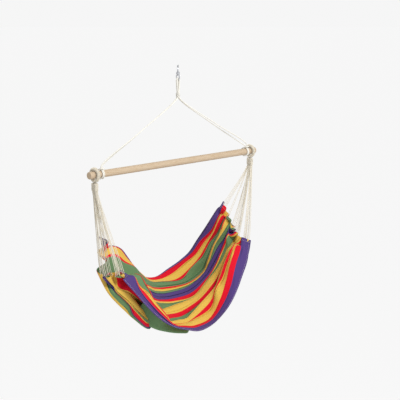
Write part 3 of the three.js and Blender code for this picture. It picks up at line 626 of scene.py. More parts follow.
def finish_tree(tree, geometry, tree_in, tree_out):
    """The tree's last steps: its copies are made real, given its material and sent out."""
    realized = add_node(tree.nodes, tree.links, "GeometryNodeRealizeInstances",
                        {"Geometry": geometry})
    painted = add_node(tree.nodes, tree.links, "GeometryNodeSetMaterial", {
        "Geometry": realized.outputs["Geometry"], "Material": tree_in.outputs["Material"]})
    fill(tree.links, tree_out, {"Geometry": painted.outputs["Geometry"]})


laid_rope, rope_in, rope_out = new_tree("laid_rope", [
    ("Rope Radius", "NodeSocketFloat", 0.00275), ("Lay Length", "NodeSocketFloat", 0.016),
    ("Step", "NodeSocketFloat", 0.002), ("Sides", "NodeSocketInt", 8),
    ("Material", "NodeSocketMaterial", None)])
nodes, links = laid_rope.nodes, laid_rope.links
evened = nodes.new("GeometryNodeResampleCurve")
evened.mode = "LENGTH"
fill(links, evened, {"Curve": rope_in.outputs["Geometry"], "Length": rope_in.outputs["Step"]})
travelled = nodes.new("GeometryNodeSplineParameter").outputs["Length"]
normal = nodes.new("GeometryNodeInputNormal").outputs[0]
tangent = nodes.new("GeometryNodeInputTangent").outputs[0]
binormal = vector_node(laid_rope, "CROSS_PRODUCT", tangent, normal)
turns = math_node(nodes, links, "DIVIDE", travelled, rope_in.outputs["Lay Length"])
strand_radius = math_node(nodes, links, "MULTIPLY", rope_in.outputs["Rope Radius"], 0.5)
profile = add_node(nodes, links, "GeometryNodeCurvePrimitiveCircle",
                   {"Resolution": rope_in.outputs["Sides"], "Radius": strand_radius})
strands = nodes.new("GeometryNodeJoinGeometry")
for strand in range(3):
    turned_by = math_node(nodes, links, "ADD", turns, strand / 3)
    angle = math_node(nodes, links, "MULTIPLY", turned_by, 2 * math.pi)
    waves = [math_node(nodes, links, wave, angle) for wave in ("COSINE", "SINE")]
    reaches = [math_node(nodes, links, "MULTIPLY", wave, strand_radius) for wave in waves]
    out = vector_node(laid_rope, "SCALE", normal, scale=reaches[0])
    side = vector_node(laid_rope, "SCALE", binormal, scale=reaches[1])
    moved = add_node(nodes, links, "GeometryNodeSetPosition", {
        "Geometry": evened.outputs["Curve"],
        "Offset": vector_node(laid_rope, "ADD", out, side)})
    swept = add_node(nodes, links, "GeometryNodeCurveToMesh", {
        "Curve": moved.outputs["Geometry"], "Profile Curve": profile.outputs["Curve"],
        "Fill Caps": True})
    links.new(swept.outputs["Mesh"], strands.inputs["Geometry"])
shaded = add_node(nodes, links, "GeometryNodeSetShadeSmooth",
                  {"Geometry": strands.outputs["Geometry"]})
finish_tree(laid_rope, shaded.outputs["Geometry"], rope_in, rope_out)


def grown(name, source, tree, values):
    """The plain mesh that a tree makes on a source object, which is then removed."""
    modifier = source.modifiers.new("tree", "NODES")
    modifier.node_group = tree
    for item in tree.interface.items_tree:
        if item.in_out == "INPUT" and item.name in values:
            modifier[item.identifier] = values[item.name]
    bpy.context.view_layer.update()
    evaluated = source.evaluated_get(bpy.context.evaluated_depsgraph_get())
    mesh = bpy.data.meshes.new_from_object(evaluated)
    mesh.name = name
    source.modifiers.remove(modifier)
    bpy.data.objects.remove(source)
    return shown(name, mesh)


def path_object(name, paths, closed=False):
    data = bpy.data.curves.new(name, "CURVE")
    data.dimensions = "3D"
    for path in paths:
        spline = data.splines.new("POLY")
        spline.points.add(len(path) - 1)
        spline.points.foreach_set("co", np.c_[path, np.ones(len(path))].ravel())
        spline.use_cyclic_u = closed
    return shown(name, data)


# Each kind of line: its radius, the length of one lay, the step along it and a strand's sides.
bridle_line = {"Rope Radius": rope_radius, "Lay Length": 0.017, "Step": 0.0016, "Sides": 10}
seizing_line = {"Rope Radius": serving_cord / 2, "Lay Length": 0.005, "Step": 0.0009, "Sides": 6}
serving_line = {**seizing_line, "Step": 0.0012}
hairpin_line = {"Rope Radius": cord_diameter / 2, "Lay Length": 0.008, "Step": 0.0016, "Sides": 5}
binding_line = {"Rope Radius": 0.0005, "Lay Length": 0.002, "Step": 0.0006, "Sides": 5}


def laid(name, paths, line, material, closed=False):
    source = path_object(name + "_path", paths, closed)
    piece = grown(name, source, laid_rope, {**line, "Material": material})
    print(name, len(piece.data.polygons), "faces")
    return piece


# %% [markdown]
# The bridle is one closed loop of rope. It passes twice over the swivel's eye, is seized below
# it, and each end holds the bar in a cow hitch: the bight lies over the two strands that come
# down.

# %% Bridle rope
def hitch_half():
    step_angle = math.pi / 6
    wrap_radius = (bar_radius + clearance + rope_radius) / math.cos(step_angle / 2)
    outer = 3 * strand_offset + 2 * clearance
    points = []
    for i in range(11):
        angle = math.pi / 4 - i * step_angle
        along = strand_offset + (outer - strand_offset) * smooth_step((i - 1) / 6)
        points.append((along, -wrap_radius * math.cos(angle), wrap_radius * math.sin(angle)))
    top = bar_radius + rope_diameter
    points.append((outer, -bar_radius * 0.17, top + rope_radius * 0.18))
    points.append((outer, -bar_radius * 0.6, top + rope_radius))
    points.append((outer * 0.6, -bar_radius * 0.9, top + rope_radius * 1.2))
    return points


def bridle_path():
    half = hitch_half()
    hitch_x = bar_half - hitch_inset
    seizing_half = (seizing_turns + 1) * (serving_cord + winding_gap) / 2
    rise = rope_radius * 3
    way_up = [(-strand_offset * 1.06, -strand_offset * 2.29, bar_radius + rise),
              (strand_offset * 0.4, -strand_offset * 2.06, bar_radius + rise * 2.7)]
    near_up = [(strand_offset * 1.06, -strand_offset * 2.24, bar_radius + rise),
               (strand_offset * 1.6, -strand_offset * 0.33, bar_radius + rise * 1.7),
               (strand_offset * 4.65, strand_offset, bar_radius + rise * 2.4)]
    lower, upper = -seizing_drop - seizing_half, -seizing_drop + seizing_half
    halfway = -(bar_drop + seizing_drop) / 2

    def placed(side, points):
        return [(side * (hitch_x - x), y, z - bar_drop) for x, y, z in points]
    centre = [(0, -bar_radius * 0.95, bar_radius + rope_diameter + rope_radius * 1.2)]
    legs = {}
    for side in (-1, 1):
        spread = leg_spread if side > 0 else 0
        far = [(side * strand_offset, -strand_offset, upper),
               (side * strand_offset, -strand_offset, lower),
               (side * hitch_x / 2, -strand_offset - spread, halfway + rise)]
        far += placed(side, way_up[::-1] + [(-x, y, z) for x, y, z in half])
        near = placed(side, half[::-1] + near_up)
        near += [(side * hitch_x / 2, strand_offset + spread, halfway + rise / 2),
                 (side * strand_offset, strand_offset, lower),
                 (side * strand_offset, strand_offset, upper)]
        leg = far + placed(side, centre) + near
        legs[side] = leg if side < 0 else leg[::-1]
    bend_radius = (eye_rod / 2 + clearance + rope_radius) / math.cos(math.pi / 8)

    def over(y, way):
        return [(way * bend_radius * math.cos(angle), y,
                 eye_bottom - eye_rod / 2 + bend_radius * math.sin(angle))
                for angle in np.linspace(0, math.pi, 5)]
    return legs[-1] + over(strand_offset, -1) + legs[1] + over(-strand_offset, 1)


bridle_route = smooth_path(bridle_path(), step=0.0015, closed=True)
bridle_length = np.linalg.norm(np.diff(bridle_route, axis=0), axis=1).sum()
bridle = laid("bridle", [bridle_route], bridle_line, rope_cotton, closed=True)
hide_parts("bridle_rope")
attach(bridle, "bridle")
print("rope in the bridle:", round(bridle_length, 3), "m")

# %% [markdown]
# Three kinds of wrapping hold rope and cord together: the seizing round the rope's four strands,
# the serving that covers each eye round the bar, and the whipping round each neck of cords. Each
# is one line wound in a loop, so a short formula gives its path and the rope tree makes the line.

# %% Wrappings: seizing, served eyes and necks
def wound(loop, turns, pitch, top, centre_x=0.0):
    count = len(loop)
    return np.array([(centre_x + loop[i % count][0], loop[i % count][1], top - pitch * i / count)
                     for i in range(turns * count + 1)])


corner = rope_radius + 2 * clearance + serving_cord / 2
half = strand_offset + corner
seizing_gap, windings = 0.0002, seizing_turns + 1
pitch = serving_cord + seizing_gap
seizing_path = wound(rounded_loop(half, half, corner), windings, pitch,
                     -seizing_drop + windings / 2 * pitch)
seizing = laid("seizing", [seizing_path], seizing_line, rope_cotton)
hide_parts("bridle_seizing")
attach(seizing, "bridle")

serving_radius = (eye_core / 2 + clearance + serving_cord / 2) / math.cos(math.pi / 8)
eye_thickness = 2 * serving_radius + serving_cord
eye_radius = bar_radius + clearance * 2 + eye_thickness / 2
eye_centre_z = -bar_drop - clearance
neck_top = eye_centre_z - eye_radius - serving_radius - serving_cord / 2
cord_pitch = cord_diameter + cord_gap
neck_corner = cord_diameter / 2 + 2 * clearance + serving_cord / 2
neck_loop = rounded_loop(cord_pitch * 1.5 + neck_corner,
                         cord_pitch * (cord_rows - 1) / 2 + neck_corner, neck_corner)
eye_turns, places_round, neck_turns = 46, 20, 14
wound_radius = serving_radius - clearance
for name, side in (("left", -1), ("right", 1)):
    eye_x = side * (bar_half - eye_inset)
    route = []
    for i in range(eye_turns * places_round):
        round_bar = 2 * math.pi * i / (eye_turns * places_round)
        about = 2 * math.pi * i / places_round
        reach = eye_radius + wound_radius * math.cos(about)
        route.append((eye_x + wound_radius * math.sin(about), reach * math.sin(round_bar),
                      eye_centre_z - reach * math.cos(round_bar)))
    serving = laid(name + "_serving", [np.array(route)], serving_line, cord_cotton, closed=True)
    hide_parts(name + "_eye_serving")
    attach(serving, "sling")
    core_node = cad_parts[name + "_eye_core"]
    core_node.data.materials.clear()
    core_node.data.materials.append(cord_cotton)
    neck_path = wound(neck_loop, neck_turns, neck_length / neck_turns, neck_top - serving_cord,
                      eye_x)
    whipping = laid(name + "_whipping", [neck_path], serving_line, cord_cotton)
    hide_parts(name + "_neck_whipping")
    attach(whipping, "sling")

# %% [markdown]
# The cloth hangs from its two cut ends, where its hem lies in the folds that the cords hold.
# There each weft line is drawn with a fixed length: the folds set where the line heads, in
# degrees for each band share, and are deepened or eased until the line spans the way between
# three guide lines. A guide gives places along the warp as shares of the bar's half, the seat's
# depth and its drop.

# %% Cloth: guide lines and folds
headings = {
    0: [-100, 60, 90, 70, -60, 80, 80, 50, 5, -40, -30, 50, 70, 50, -40, -50, -30, 20, 50, 50,
        20, -30, -50, -10, 40],
    0.25: [-120, 100, 100, 95, -75, 95, 90, 50, 5, -15, -20, 70, 85, 50, -40, -40, -30, 0, 30,
           40, 20, -30, -40, -10, 40],
    0.38: [-60, 60, 60, 55, 30, -90, -90, -10, 30, 20, -30, -30, 40, 50, 20, -50, -40, 0, 20,
           40, 45, -10, -30, 10, 35],
    0.5: [-10, 0, 5, 10, 10, -172, -178, -8, 30, 60, 30, -60, -55, -20, 60, 55, -60, -60, -20,
          55, 60, -10, -35, 10, 35],
    0.75: [0, 0, 5, 10, 15, -170, -175, -40, 30, 50, 50, -50, -60, -20, 60, 55, -60, -60, -5,
           55, 50, -30, -45, 10, 30],
    1: [0, 0, 0, 5, 10, -150, -150, -60, 20, 40, 0, -60, -40, 30, 60, 20, -60, -40, 10, 50, 30,
        -20, 0, 20, 20]}
front_guide = {0: (-0.79, -0.39, 0.541), 0.125: (-0.752, -0.452, 0.646),
               0.25: (-0.62, -0.52, 0.751), 0.375: (-0.36, -0.624, 0.885),
               0.5: (-0.06, -0.68, 0.962), 0.625: (0.22, -0.652, 0.899),
               0.75: (0.46, -0.584, 0.816), 0.875: (0.656, -0.472, 0.682),
               1: (0.754, -0.368, 0.535)}
hollow_guide = {0: (-0.88, -0.03, 0.561), 0.125: (-0.81, -0.01, 0.676),
                0.25: (-0.67, -0.03, 0.811), 0.75: (0.47, 0.19, 0.682),
                0.875: (0.616, 0.09, 0.547), 1: (0.69, -0.04, 0.466)}
back_guide = {0: (-0.81, 0.25, 0.354), 0.125: (-0.69, 0.37, 0.466), 0.25: (-0.54, 0.59, 0.622),
              0.375: (-0.33, 0.81, 0.75), 0.5: (-0.04, 0.93, 0.824), 0.625: (0.25, 0.87, 0.764),
              0.75: (0.496, 0.64, 0.628), 0.875: (0.636, 0.37, 0.439), 1: (0.75, 0.32, 0.318)}
hollow_share, front_share = 0.67, 0.34
gather_share, flute_share, end_folds = 0.085, 0.25, 7
gather_swing, flute_swing, slackest_turn, gathered_turn = 1.9, 0.35, 1.5, 0.5
fold_round = 0.009
weft_steps, halvings, nudge = 336, 24, 0.001
weft_step = cloth_width / weft_steps


def through(table, u):
    """The values of a table at u, on a smooth curve through its places."""
    places = sorted(table)
    values = [np.array(table[place], float) for place in places]
    i = min(max(np.searchsorted(places, u, side="right") - 1, 0), len(places) - 2)

    def slope(k):
        a, b = max(k - 1, 0), min(k + 1, len(places) - 1)
        return (values[b] - values[a]) / (places[b] - places[a])
    step = places[i + 1] - places[i]
    t = (u - places[i]) / step
    return ((2 * t**3 - 3 * t**2 + 1) * values[i] + (t**3 - 2 * t**2 + t) * step * slope(i)
            + (3 * t**2 - 2 * t**3) * values[i + 1] + (t**3 - t**2) * step * slope(i + 1))


def guide(table, u):
    x, y, z = through(table, u)
    return np.array((x * bar_half, y * seat_depth, -bar_drop - z * seat_drop))


band_edges = np.cumsum(band_shares)
fine_places = (np.arange(weft_steps) + 0.5) / weft_steps
band_at = np.minimum(np.searchsorted(band_edges, fine_places, side="left"), len(band_shares) - 1)


def bell(reach, roundness):
    """Weights that round a fold off over a few steps to each side."""
    weights = np.exp(-((np.arange(-reach, reach + 1) * weft_step / roundness) ** 2) / 2)
    return weights / weights.sum()


reach = round(2.5 * fold_round / weft_step)
weights = bell(reach, fold_round)


def spanned(heads, across, into, steepest):
    """The same turns, deepened or eased until the line that they draw spans the way asked for."""
    goal = math.hypot(across, into)
    low, high = 0.0, steepest / np.abs(heads).max()
    for _ in range(halvings):
        middle = (low + high) / 2
        drawn = math.hypot(np.cos(heads * middle).sum(), np.sin(heads * middle).sum()) * weft_step
        if drawn > goal:
            low = middle
        else:
            high = middle
    along, aside = np.cos(heads * low).sum(), np.sin(heads * low).sum()
    return heads * low + math.atan2(into, across) - math.atan2(aside, along)


def weft_line(u):
    end = min(u, 1 - u)
    gather = math.exp(-((end / gather_share) ** 2))
    flute = flute_swing * math.exp(-((end / flute_share) ** 2)) * (1 - gather)
    raw = np.radians(through(headings, u))[band_at]
    soft = np.convolve(np.pad(raw, reach, mode="edge"), weights, mode="valid")
    swing = np.sin(2 * math.pi * end_folds * fine_places) * (gather_swing * gather + flute)
    heads = soft * (1 - gather) + swing
    front = guide(front_guide, u)
    along = guide(front_guide, min(u + nudge, 1)) - guide(front_guide, max(u - nudge, 0))
    along[1] = 0
    along /= np.linalg.norm(along)
    inward = np.array((-along[2], 0, along[0]))
    forward = np.array((0, 1, 0))

    def draw(start, turns):
        steps = np.cos(turns)[:, None] * forward + np.sin(turns)[:, None] * inward
        return np.vstack([start, start + np.cumsum(steps * weft_step, axis=0)])
    hold, turn = round(front_share * weft_steps), round(hollow_share * weft_steps)
    hollow, back = guide(hollow_guide, u), guide(back_guide, u)
    steepest = slackest_turn + gathered_turn * gather
    loose = draw(front, heads[:hold])[-1]
    gathered = front + (hollow - front) * front_share / hollow_share
    to_hold = loose + (gathered - loose) * gather - front
    first = spanned(heads[:hold], to_hold[1], to_hold @ inward, math.pi)
    to_hollow = hollow - draw(front, first)[-1]
    to_back = back - hollow
    middle = spanned(heads[hold:turn], to_hollow[1], to_hollow @ inward, steepest)
    rear = spanned(heads[turn:], to_back[1], to_back @ inward, steepest)
    line = draw(front, np.concatenate([first, middle, rear]))
    place = np.arange(weft_steps + 1)
    line += np.clip((place - hold) / (turn - hold), 0, 1)[:, None] * (hollow - line[turn])
    line += np.clip((place - turn) / (weft_steps - turn), 0, 1)[:, None] * (back - line[-1])
    return line


print(len(headings), "sets of folds along three guides")


# %% [markdown]
# Between its ends the cloth is steered more closely. Each entry below is one edge of a band, by
# its share of the width, followed along the warp by where it is seen from the camera: across and
# down a picture of 400 by 400 points. How far back the edge lies can't be seen, so it is judged,
# and given as a share of the seat's depth: for the whole edge, or as a third value where the
# cloth folds under. What a band has to spare between two such edges goes into a pleat behind it.

# %% Cloth: band edges as they are seen
seen_stations = (0.06, 0.125, 0.19, 0.25, 0.31, 0.375, 0.44, 0.5, 0.56, 0.625, 0.69, 0.75, 0.82,
                 0.88, 0.94)
seen_edges = {
    0.000: [(121.5, 278), (129, 286.5), (138, 296.5), (146, 305.5), (158.5, 318), (173, 327),
            (187.5, 330), (200, 330.6), (213.5, 323.7), (225, 312), (233, 299.5), (238.5, 287.5),
            (243, 274), (247, 262), (249, 251)],
    0.075: [(134, 275), (137.5, 285.6), (143, 294.8), (150.5, 304), (161.5, 315.5),
            (174.5, 325.6), (187, 327.6), (198, 327.2), (212.5, 319.8), (224, 303.5),
            (231, 286.5), (234.3, 273), (237, 262.5), (239.3, 255), (241.5, 246.5)],
    0.114: [(134.3, 274.9), (138.3, 285.3), (146, 293.8), (153.2, 303), (163.3, 314.2),
            (174.8, 324.9), (186, 326.2), (195.5, 325.6), (210, 318.3), (220.5, 299.5),
            (226.2, 281.5), (229.2, 268.5), (232, 259), (234.2, 252.5), (236.5, 243.5)],
    0.184: [(134.5, 274.9), (138.7, 285.1), (147, 293.4), (155.2, 302.5), (165.5, 313.4),
            (172, 323.6), (181.3, 324), (191, 321), (208, 311.8), (215.2, 291), (223, 279),
            (227, 267), (230.2, 256), (232.5, 250), (236, 243)],
    0.200: [(134.6, 274.9), (138.8, 285), (147.2, 293.3), (155.3, 302.5), (165.4, 313.6),
            (171.6, 323.4), (181, 323.8), (190.5, 320.7), (205.5, 307.8), (214.8, 289.5),
            (220.4, 275), (224.4, 263.6), (229, 252.6), (231.4, 248.4), (235.5, 242.2)],
    0.255: [(134.8, 274.8), (139, 284.9), (148.4, 293), (155.4, 302.4), (164.2, 315),
            (169, 321.4), (174.5, 320.1), (187, 317.8), (200.8, 303.4), (214.2, 288.3),
            (220, 274.5), (224, 263.3), (228.8, 252.3), (231.2, 248.2), (235.3, 242)],
    0.270: [(136, 274.3, 0.08), (140.5, 284.6, 0.08), (148.7, 293.2, 0.1), (146, 306.6, 0.5),
            (157.6, 319.2, 0.5), (171.3, 328.6, 0.5), (184.5, 331.2, 0.42), (187, 318.1, 0.32),
            (200.7, 303.3, 0.32), (214.1, 288.2, 0.32), (219.9, 274.4, 0.32),
            (223.9, 263.2, 0.32), (228.7, 252.2, 0.32), (231.1, 248.1, 0.32),
            (235.2, 241.9, 0.32)],
    0.285: [(137.2, 273.6, 0.08), (142, 284.2, 0.08), (149, 293.2, 0.1), (134, 316.8, 0.3),
            (150, 328.2, 0.2), (165.5, 332.6, 0.2), (182, 334, 0.2), (187, 318.5, 0.33),
            (200.6, 303.2, 0.33), (214.1, 288.2, 0.33), (219.9, 274.4, 0.33),
            (223.9, 263.2, 0.33), (228.7, 252.2, 0.33), (231.1, 248.1, 0.33),
            (235.2, 241.9, 0.33)],
    0.316: [(139.8, 272.6), (144.8, 283.6), (150.3, 292.6), (154.8, 301.9), (162, 316.5),
            (166.5, 319), (172, 317.7), (184.5, 314.8), (200.3, 303), (214, 288), (219.8, 274.3),
            (223.9, 263.2), (228.7, 252.1), (231.1, 248.1), (235.2, 241.8)],
    0.328: [(141, 272.2), (146, 283.2), (151.2, 292.4), (155, 301.7), (160, 317.2), (165, 317),
            (170.7, 315.8), (183, 313.2), (199.6, 301.6), (213.2, 286.5), (219.6, 274.1),
            (223.8, 263.1), (228.6, 252), (231, 248), (235.2, 241.6)],
    0.340: [(118.5, 289), (128.3, 291.3), (138, 297.6), (146.2, 306), (158, 318.4), (163, 314.8),
            (169.5, 314), (181.5, 311.8), (199, 300.3), (212.3, 285), (219.5, 274), (223.7, 263),
            (228.5, 252), (231, 248), (235.2, 241.5)],
    0.352: [(118.2, 289.3, 0.16), (127.9, 291.8, 0.2), (135.9, 299.2, 0.42), (143.9, 308.2, 0.44),
            (156, 320.2, 0.4), (162.4, 314.3, 0.39), (168.7, 313.5, 0.39), (180.8, 311, 0.39),
            (198.5, 299.9, 0.39), (211.9, 284.4, 0.39), (219.2, 273.4, 0.39),
            (223.6, 262.5, 0.39), (228.3, 251.7, 0.39), (230.8, 247.9, 0.39),
            (235.1, 241.4, 0.39)],
    0.375: [(117.5, 289.8, 0.16), (127, 292.8, 0.17), (134.4, 300.8, 0.17), (141.7, 309.7, 0.18),
            (154.2, 321, 0.3), (161.3, 313.2, 0.41), (167.2, 312.5, 0.41), (179.4, 309.5, 0.41),
            (197.4, 299.1, 0.41), (211, 283.2, 0.41), (218.7, 272.3, 0.41), (223.4, 261.7, 0.41),
            (228, 251.2, 0.41), (230.4, 247.7, 0.41), (234.8, 241.3, 0.41)],
    0.447: [(114.2, 290), (123.3, 297.7), (131, 304.5), (138.7, 312.2), (150, 320.2),
            (155.5, 310), (162.5, 309.4), (175, 304.8), (194.2, 296.8), (208.3, 279.5),
            (217, 269), (223, 259), (227, 249.5), (229.3, 247), (234, 241)],
    0.483: [(114.1, 290.1), (123.2, 297.8), (130.6, 304.9), (137.9, 312.9), (148.8, 322.4),
            (152.5, 303.5), (161, 303.5), (174, 303), (193.9, 296.4), (207.8, 279),
            (216.3, 266.6), (221.6, 254.9), (225.9, 244.4), (227, 238), (229.6, 234.3)],
    0.498: [(114.1, 290.2), (123.1, 297.9), (130.5, 305), (137.6, 313.2), (148.4, 322.9),
            (152, 302), (160.5, 302), (173.5, 301.8), (193.5, 296), (207.6, 278.8), (216, 266.3),
            (221.3, 254.6), (225.6, 244.2), (226.8, 237.6), (229.3, 233.6)],
    0.534: [(114, 290.4), (122.9, 298.1), (130, 305.6), (134.9, 316), (149.5, 326.6),
            (150.5, 300), (159.5, 299.9), (172, 299), (191.5, 293), (207, 277.8), (215, 265.5),
            (220.2, 253.5), (224.4, 243), (226.3, 237), (228.8, 232)],
    0.585: [(114, 290.6), (122.8, 298.3), (129.8, 305.8), (134.7, 316.3), (150, 327.1),
            (149, 296.7), (158.2, 296.7), (170, 296), (189.6, 289.8), (205, 275.8), (213, 264),
            (219.3, 251), (224.3, 240), (227, 235), (229, 229)],
    0.636: [(113.8, 290.8), (122.6, 298.5), (129.6, 306), (134.4, 316.6), (150.3, 327.5),
            (147.5, 293.3), (157, 293.5), (168, 293.1), (188, 287), (202.8, 273.8), (210, 262.5),
            (217.3, 248), (224.5, 238), (229, 229), (231, 224)],
    0.670: [(110.6, 293.3), (118.6, 301.3), (126.5, 309), (132.8, 318), (150.5, 327.9),
            (146, 290.6), (156, 291.3), (166.5, 291.2), (187.3, 285.6), (203.2, 273.8),
            (209.6, 261.2), (214.9, 246), (221.2, 235.3), (227.3, 226), (231.3, 219.5)],
    0.697: [(108, 294), (115.6, 302.6), (124.3, 310.6), (133, 318.2), (149.5, 326.4),
            (145, 288.5), (155, 289.2), (165.5, 289.2), (186.8, 284.6), (202.6, 273.1),
            (208.5, 260.6), (213.6, 245.5), (219.6, 234.4), (223.4, 223.9), (228, 216)],
    0.709: [(108, 293), (115.5, 302), (124.5, 310), (133.2, 317.6), (146, 322), (144.5, 286.7),
            (154.3, 287.5), (164.5, 287.6), (186.3, 284), (202.3, 272.8), (208.2, 260.3),
            (213.3, 245.3), (219.4, 234.2), (223.2, 223.6), (227.6, 215.5)],
    0.755: [(104, 276), (111.5, 284), (122, 291), (131, 294), (141, 298), (147, 284.6),
            (153.2, 285.5), (163.3, 285.8), (184.8, 282.3), (201, 270.5), (206.5, 258.5),
            (212.2, 244.4), (218.2, 233.4), (222.8, 223), (227.3, 215)],
    0.801: [(104, 261), (110.2, 257), (117, 257.5), (124.5, 263.2), (134.6, 267), (141.5, 274.2),
            (150.8, 281.3), (161.2, 281.9), (181, 279.7), (191.8, 267.8), (202.5, 256.8),
            (209.6, 243.8), (217.6, 233), (222.3, 222.5), (227, 214.5)],
    0.823: [(104, 258), (110.5, 254), (117.6, 254.8), (125, 261.2), (134.3, 266.4),
            (141.2, 273.8), (150.4, 280.9), (160.8, 281.5), (177, 279), (191.2, 267),
            (200.5, 255.8), (207.5, 243), (213.8, 231.8), (218.8, 220.5), (223.3, 213.5)],
    0.886: [(103.5, 251), (111.5, 247.2), (119.8, 249.6), (126.6, 257.7), (134, 265.9),
            (139.6, 272), (148.6, 279.3), (159.4, 279.6), (172.5, 273.5), (185.5, 262.6),
            (196, 254), (204.3, 242), (212.8, 231.3), (217.8, 219.8), (221.6, 212.4)],
    0.930: [(103, 248.5), (111.8, 246.4), (120.1, 249.1), (126.9, 257.3), (133.4, 265.5),
            (139, 272.4), (147, 277.4), (158, 276.1), (169, 269.6), (181, 261.8), (192, 252.8),
            (200.8, 241.2), (211, 230.5), (217.3, 219), (221, 212)],
    1.000: [(102, 246.5), (112, 245.8), (120.4, 248.7), (127.1, 257), (133, 265.3), (138, 274),
            (146.6, 279), (157.2, 276.6), (167.8, 269), (179, 260.9), (189.5, 251.8),
            (197, 240.3), (204.6, 228), (212, 216), (218.5, 206.5)]}
added_stations = {0.184: {0.6: (213.2, 304)},
                  0.200: {0.6: (212.4, 298.5)},
                  0.270: {0.47: (190, 328, 0.35)},
                  0.285: {0.47: (188.5, 332.6, 0.22)}}
# How far back each edge lies, in shares of the seat's depth, at the left and at the right.
depth_shares = {0.000: (0.00, 0.00), 0.075: (0.02, 0.09), 0.114: (0.04, 0.14), 0.184: (0.05, 0.22),
                0.200: (0.05, 0.24), 0.255: (0.07, 0.30), 0.316: (0.09, 0.36), 0.328: (0.10, 0.37),
                0.340: (0.16, 0.38), 0.447: (0.17, 0.48), 0.483: (0.18, 0.52), 0.498: (0.18, 0.53),
                0.534: (0.19, 0.56), 0.585: (0.20, 0.60), 0.636: (0.22, 0.64), 0.670: (0.26, 0.67),
                0.697: (0.32, 0.69), 0.709: (0.36, 0.70), 0.755: (0.55, 0.74), 0.801: (0.68, 0.79),
                0.823: (0.72, 0.81), 0.886: (0.85, 0.88), 0.930: (0.92, 0.93), 1.000: (1.00, 1.00)}
deepest_pleat, least_spare, pleat_mouth, crease_round = 0.022, 0.004, 0.2, 0.0026
left_until, right_within = 0.28, 0.2
end_share = gather_share
camera_place, view_line = np.array(camera.location), np.array(sight)
view_right = np.cross(view_line, (0, 0, 1))
view_right /= np.linalg.norm(view_right)
view_up = np.cross(view_right, view_line)


def edge_point(share, u):
    """The place of a band's edge, on the ray through its point in the picture, at its depth."""
    seen = {**dict(zip(seen_stations, seen_edges[share])), **added_stations.get(share, {})}
    across, down, *depth = through(seen, min(max(u, seen_stations[0]), seen_stations[-1]))
    if not depth:
        left, right = depth_shares[share]
        depth = [left + (right - left) * smooth_step((u - left_until) / right_within)]
    front_y, back_y = guide(front_guide, u)[1], guide(back_guide, u)[1]
    y = front_y + (back_y - front_y) * depth[0]
    aside, below = (across - picture_size / 2) / view_focal, (down - picture_size / 2) / view_focal
    ray = view_line + view_right * aside - view_up * below
    return camera_place + ray * (y - camera_place[1]) / ray[1]


edge_shares = sorted(seen_edges)
fine_reach = 5
fine_weights = bell(fine_reach, crease_round)


def seen_line(u):
    """The weft line at u through the edges as seen, with a pleat behind each spare width."""
    corners, places = [edge_point(0.0, u)], [0.0]
    for low, high in zip(edge_shares, edge_shares[1:]):
        start, stop = corners[-1], edge_point(high, u)
        chord = np.linalg.norm(stop - start)
        spare = (high - low) * cloth_width - chord
        if spare > least_spare:
            depth = min(spare / 2, deepest_pleat)
            flat_share = chord * (1 - pleat_mouth) / (chord + 2 * depth)
            corners.append(start + (stop - start) * (1 - pleat_mouth))
            corners.append(start + (stop - start) * (1 - pleat_mouth / 2) + view_line * depth)
            places += [low + (high - low) * part for part in (flat_share, (1 + flat_share) / 2)]
        corners.append(stop)
        places.append(high)
    where = np.linspace(0, 1, weft_steps + 1)
    corners = np.array(corners)
    line = np.stack([np.interp(where, places, corners[:, axis]) for axis in range(3)], axis=1)
    padded = np.pad(line, ((fine_reach, fine_reach), (0, 0)), mode="reflect", reflect_type="odd")
    return np.stack([np.convolve(padded[:, axis], fine_weights, mode="valid")
                     for axis in range(3)], axis=1)


def seat_line(u):
    share = smooth_step(min(u, 1 - u) / end_share)
    return seen_line(u) if share == 1 else weft_line(u) * (1 - share) + seen_line(u) * share


warp_rows = 141
even = np.linspace(0, 1, warp_rows)
warp_places = (even + (1 - np.cos(math.pi * even)) / 2) / 2
grid = np.array([seat_line(u) for u in warp_places])
columns = grid.shape[1]
print(len(edge_shares), "band edges on a grid of", warp_rows, "by", columns)

# %% [markdown]
# The grid of points becomes the sheet. Fine ripples are laid on it first, as in any cloth that
# has been washed. Its UV map, named cut, is the cloth laid flat, so bands and weave run true
# whatever the folds. A Solidify modifier gives the thickness.

# %% Cloth: ripples and the sheet
ripple_waves = [(11, 0.0011, 0.5, 0.3), (19, 0.0008, -0.8, 1.9), (31, 0.0005, 0.6, 4.0)]
ripple_fade, ripple_drift = 0.12, 2.3 * math.pi


def sheet_normals(points):
    normals = np.cross(np.gradient(points, axis=0), np.gradient(points, axis=1))
    return normals / np.maximum(np.linalg.norm(normals, axis=2), 1e-9)[:, :, None]


warp_column, weft_row = warp_places[:, None], np.linspace(0, 1, columns)[None, :]
ripple = 0
for waves, height, drift, phase in ripple_waves:
    wander = drift * np.sin(ripple_drift * warp_column + phase)
    ripple = ripple + height * np.sin(2 * math.pi * (waves * weft_row + wander) + phase)
ripple *= np.clip(np.minimum(warp_column, 1 - warp_column) / ripple_fade, 0, 1)
grid = grid + sheet_normals(grid) * ripple[:, :, None]


def sheet_mesh(name, points, material):
    rows, across = points.shape[:2]
    faces = [(k, k + 1, k + across + 1, k + across)
             for i in range(rows - 1) for k in range(i * across, (i + 1) * across - 1)]
    piece = new_piece(name, points.reshape(-1, 3), faces, material)
    cut = piece.data.uv_layers.new(name="cut")
    u = np.repeat(warp_places, across)
    v = np.tile(np.linspace(0, 1, across), rows)
    corners = np.empty(len(piece.data.loops), int)
    piece.data.loops.foreach_get("vertex_index", corners)
    cut.data.foreach_set("uv", np.c_[u[corners], v[corners]].ravel())
    return piece


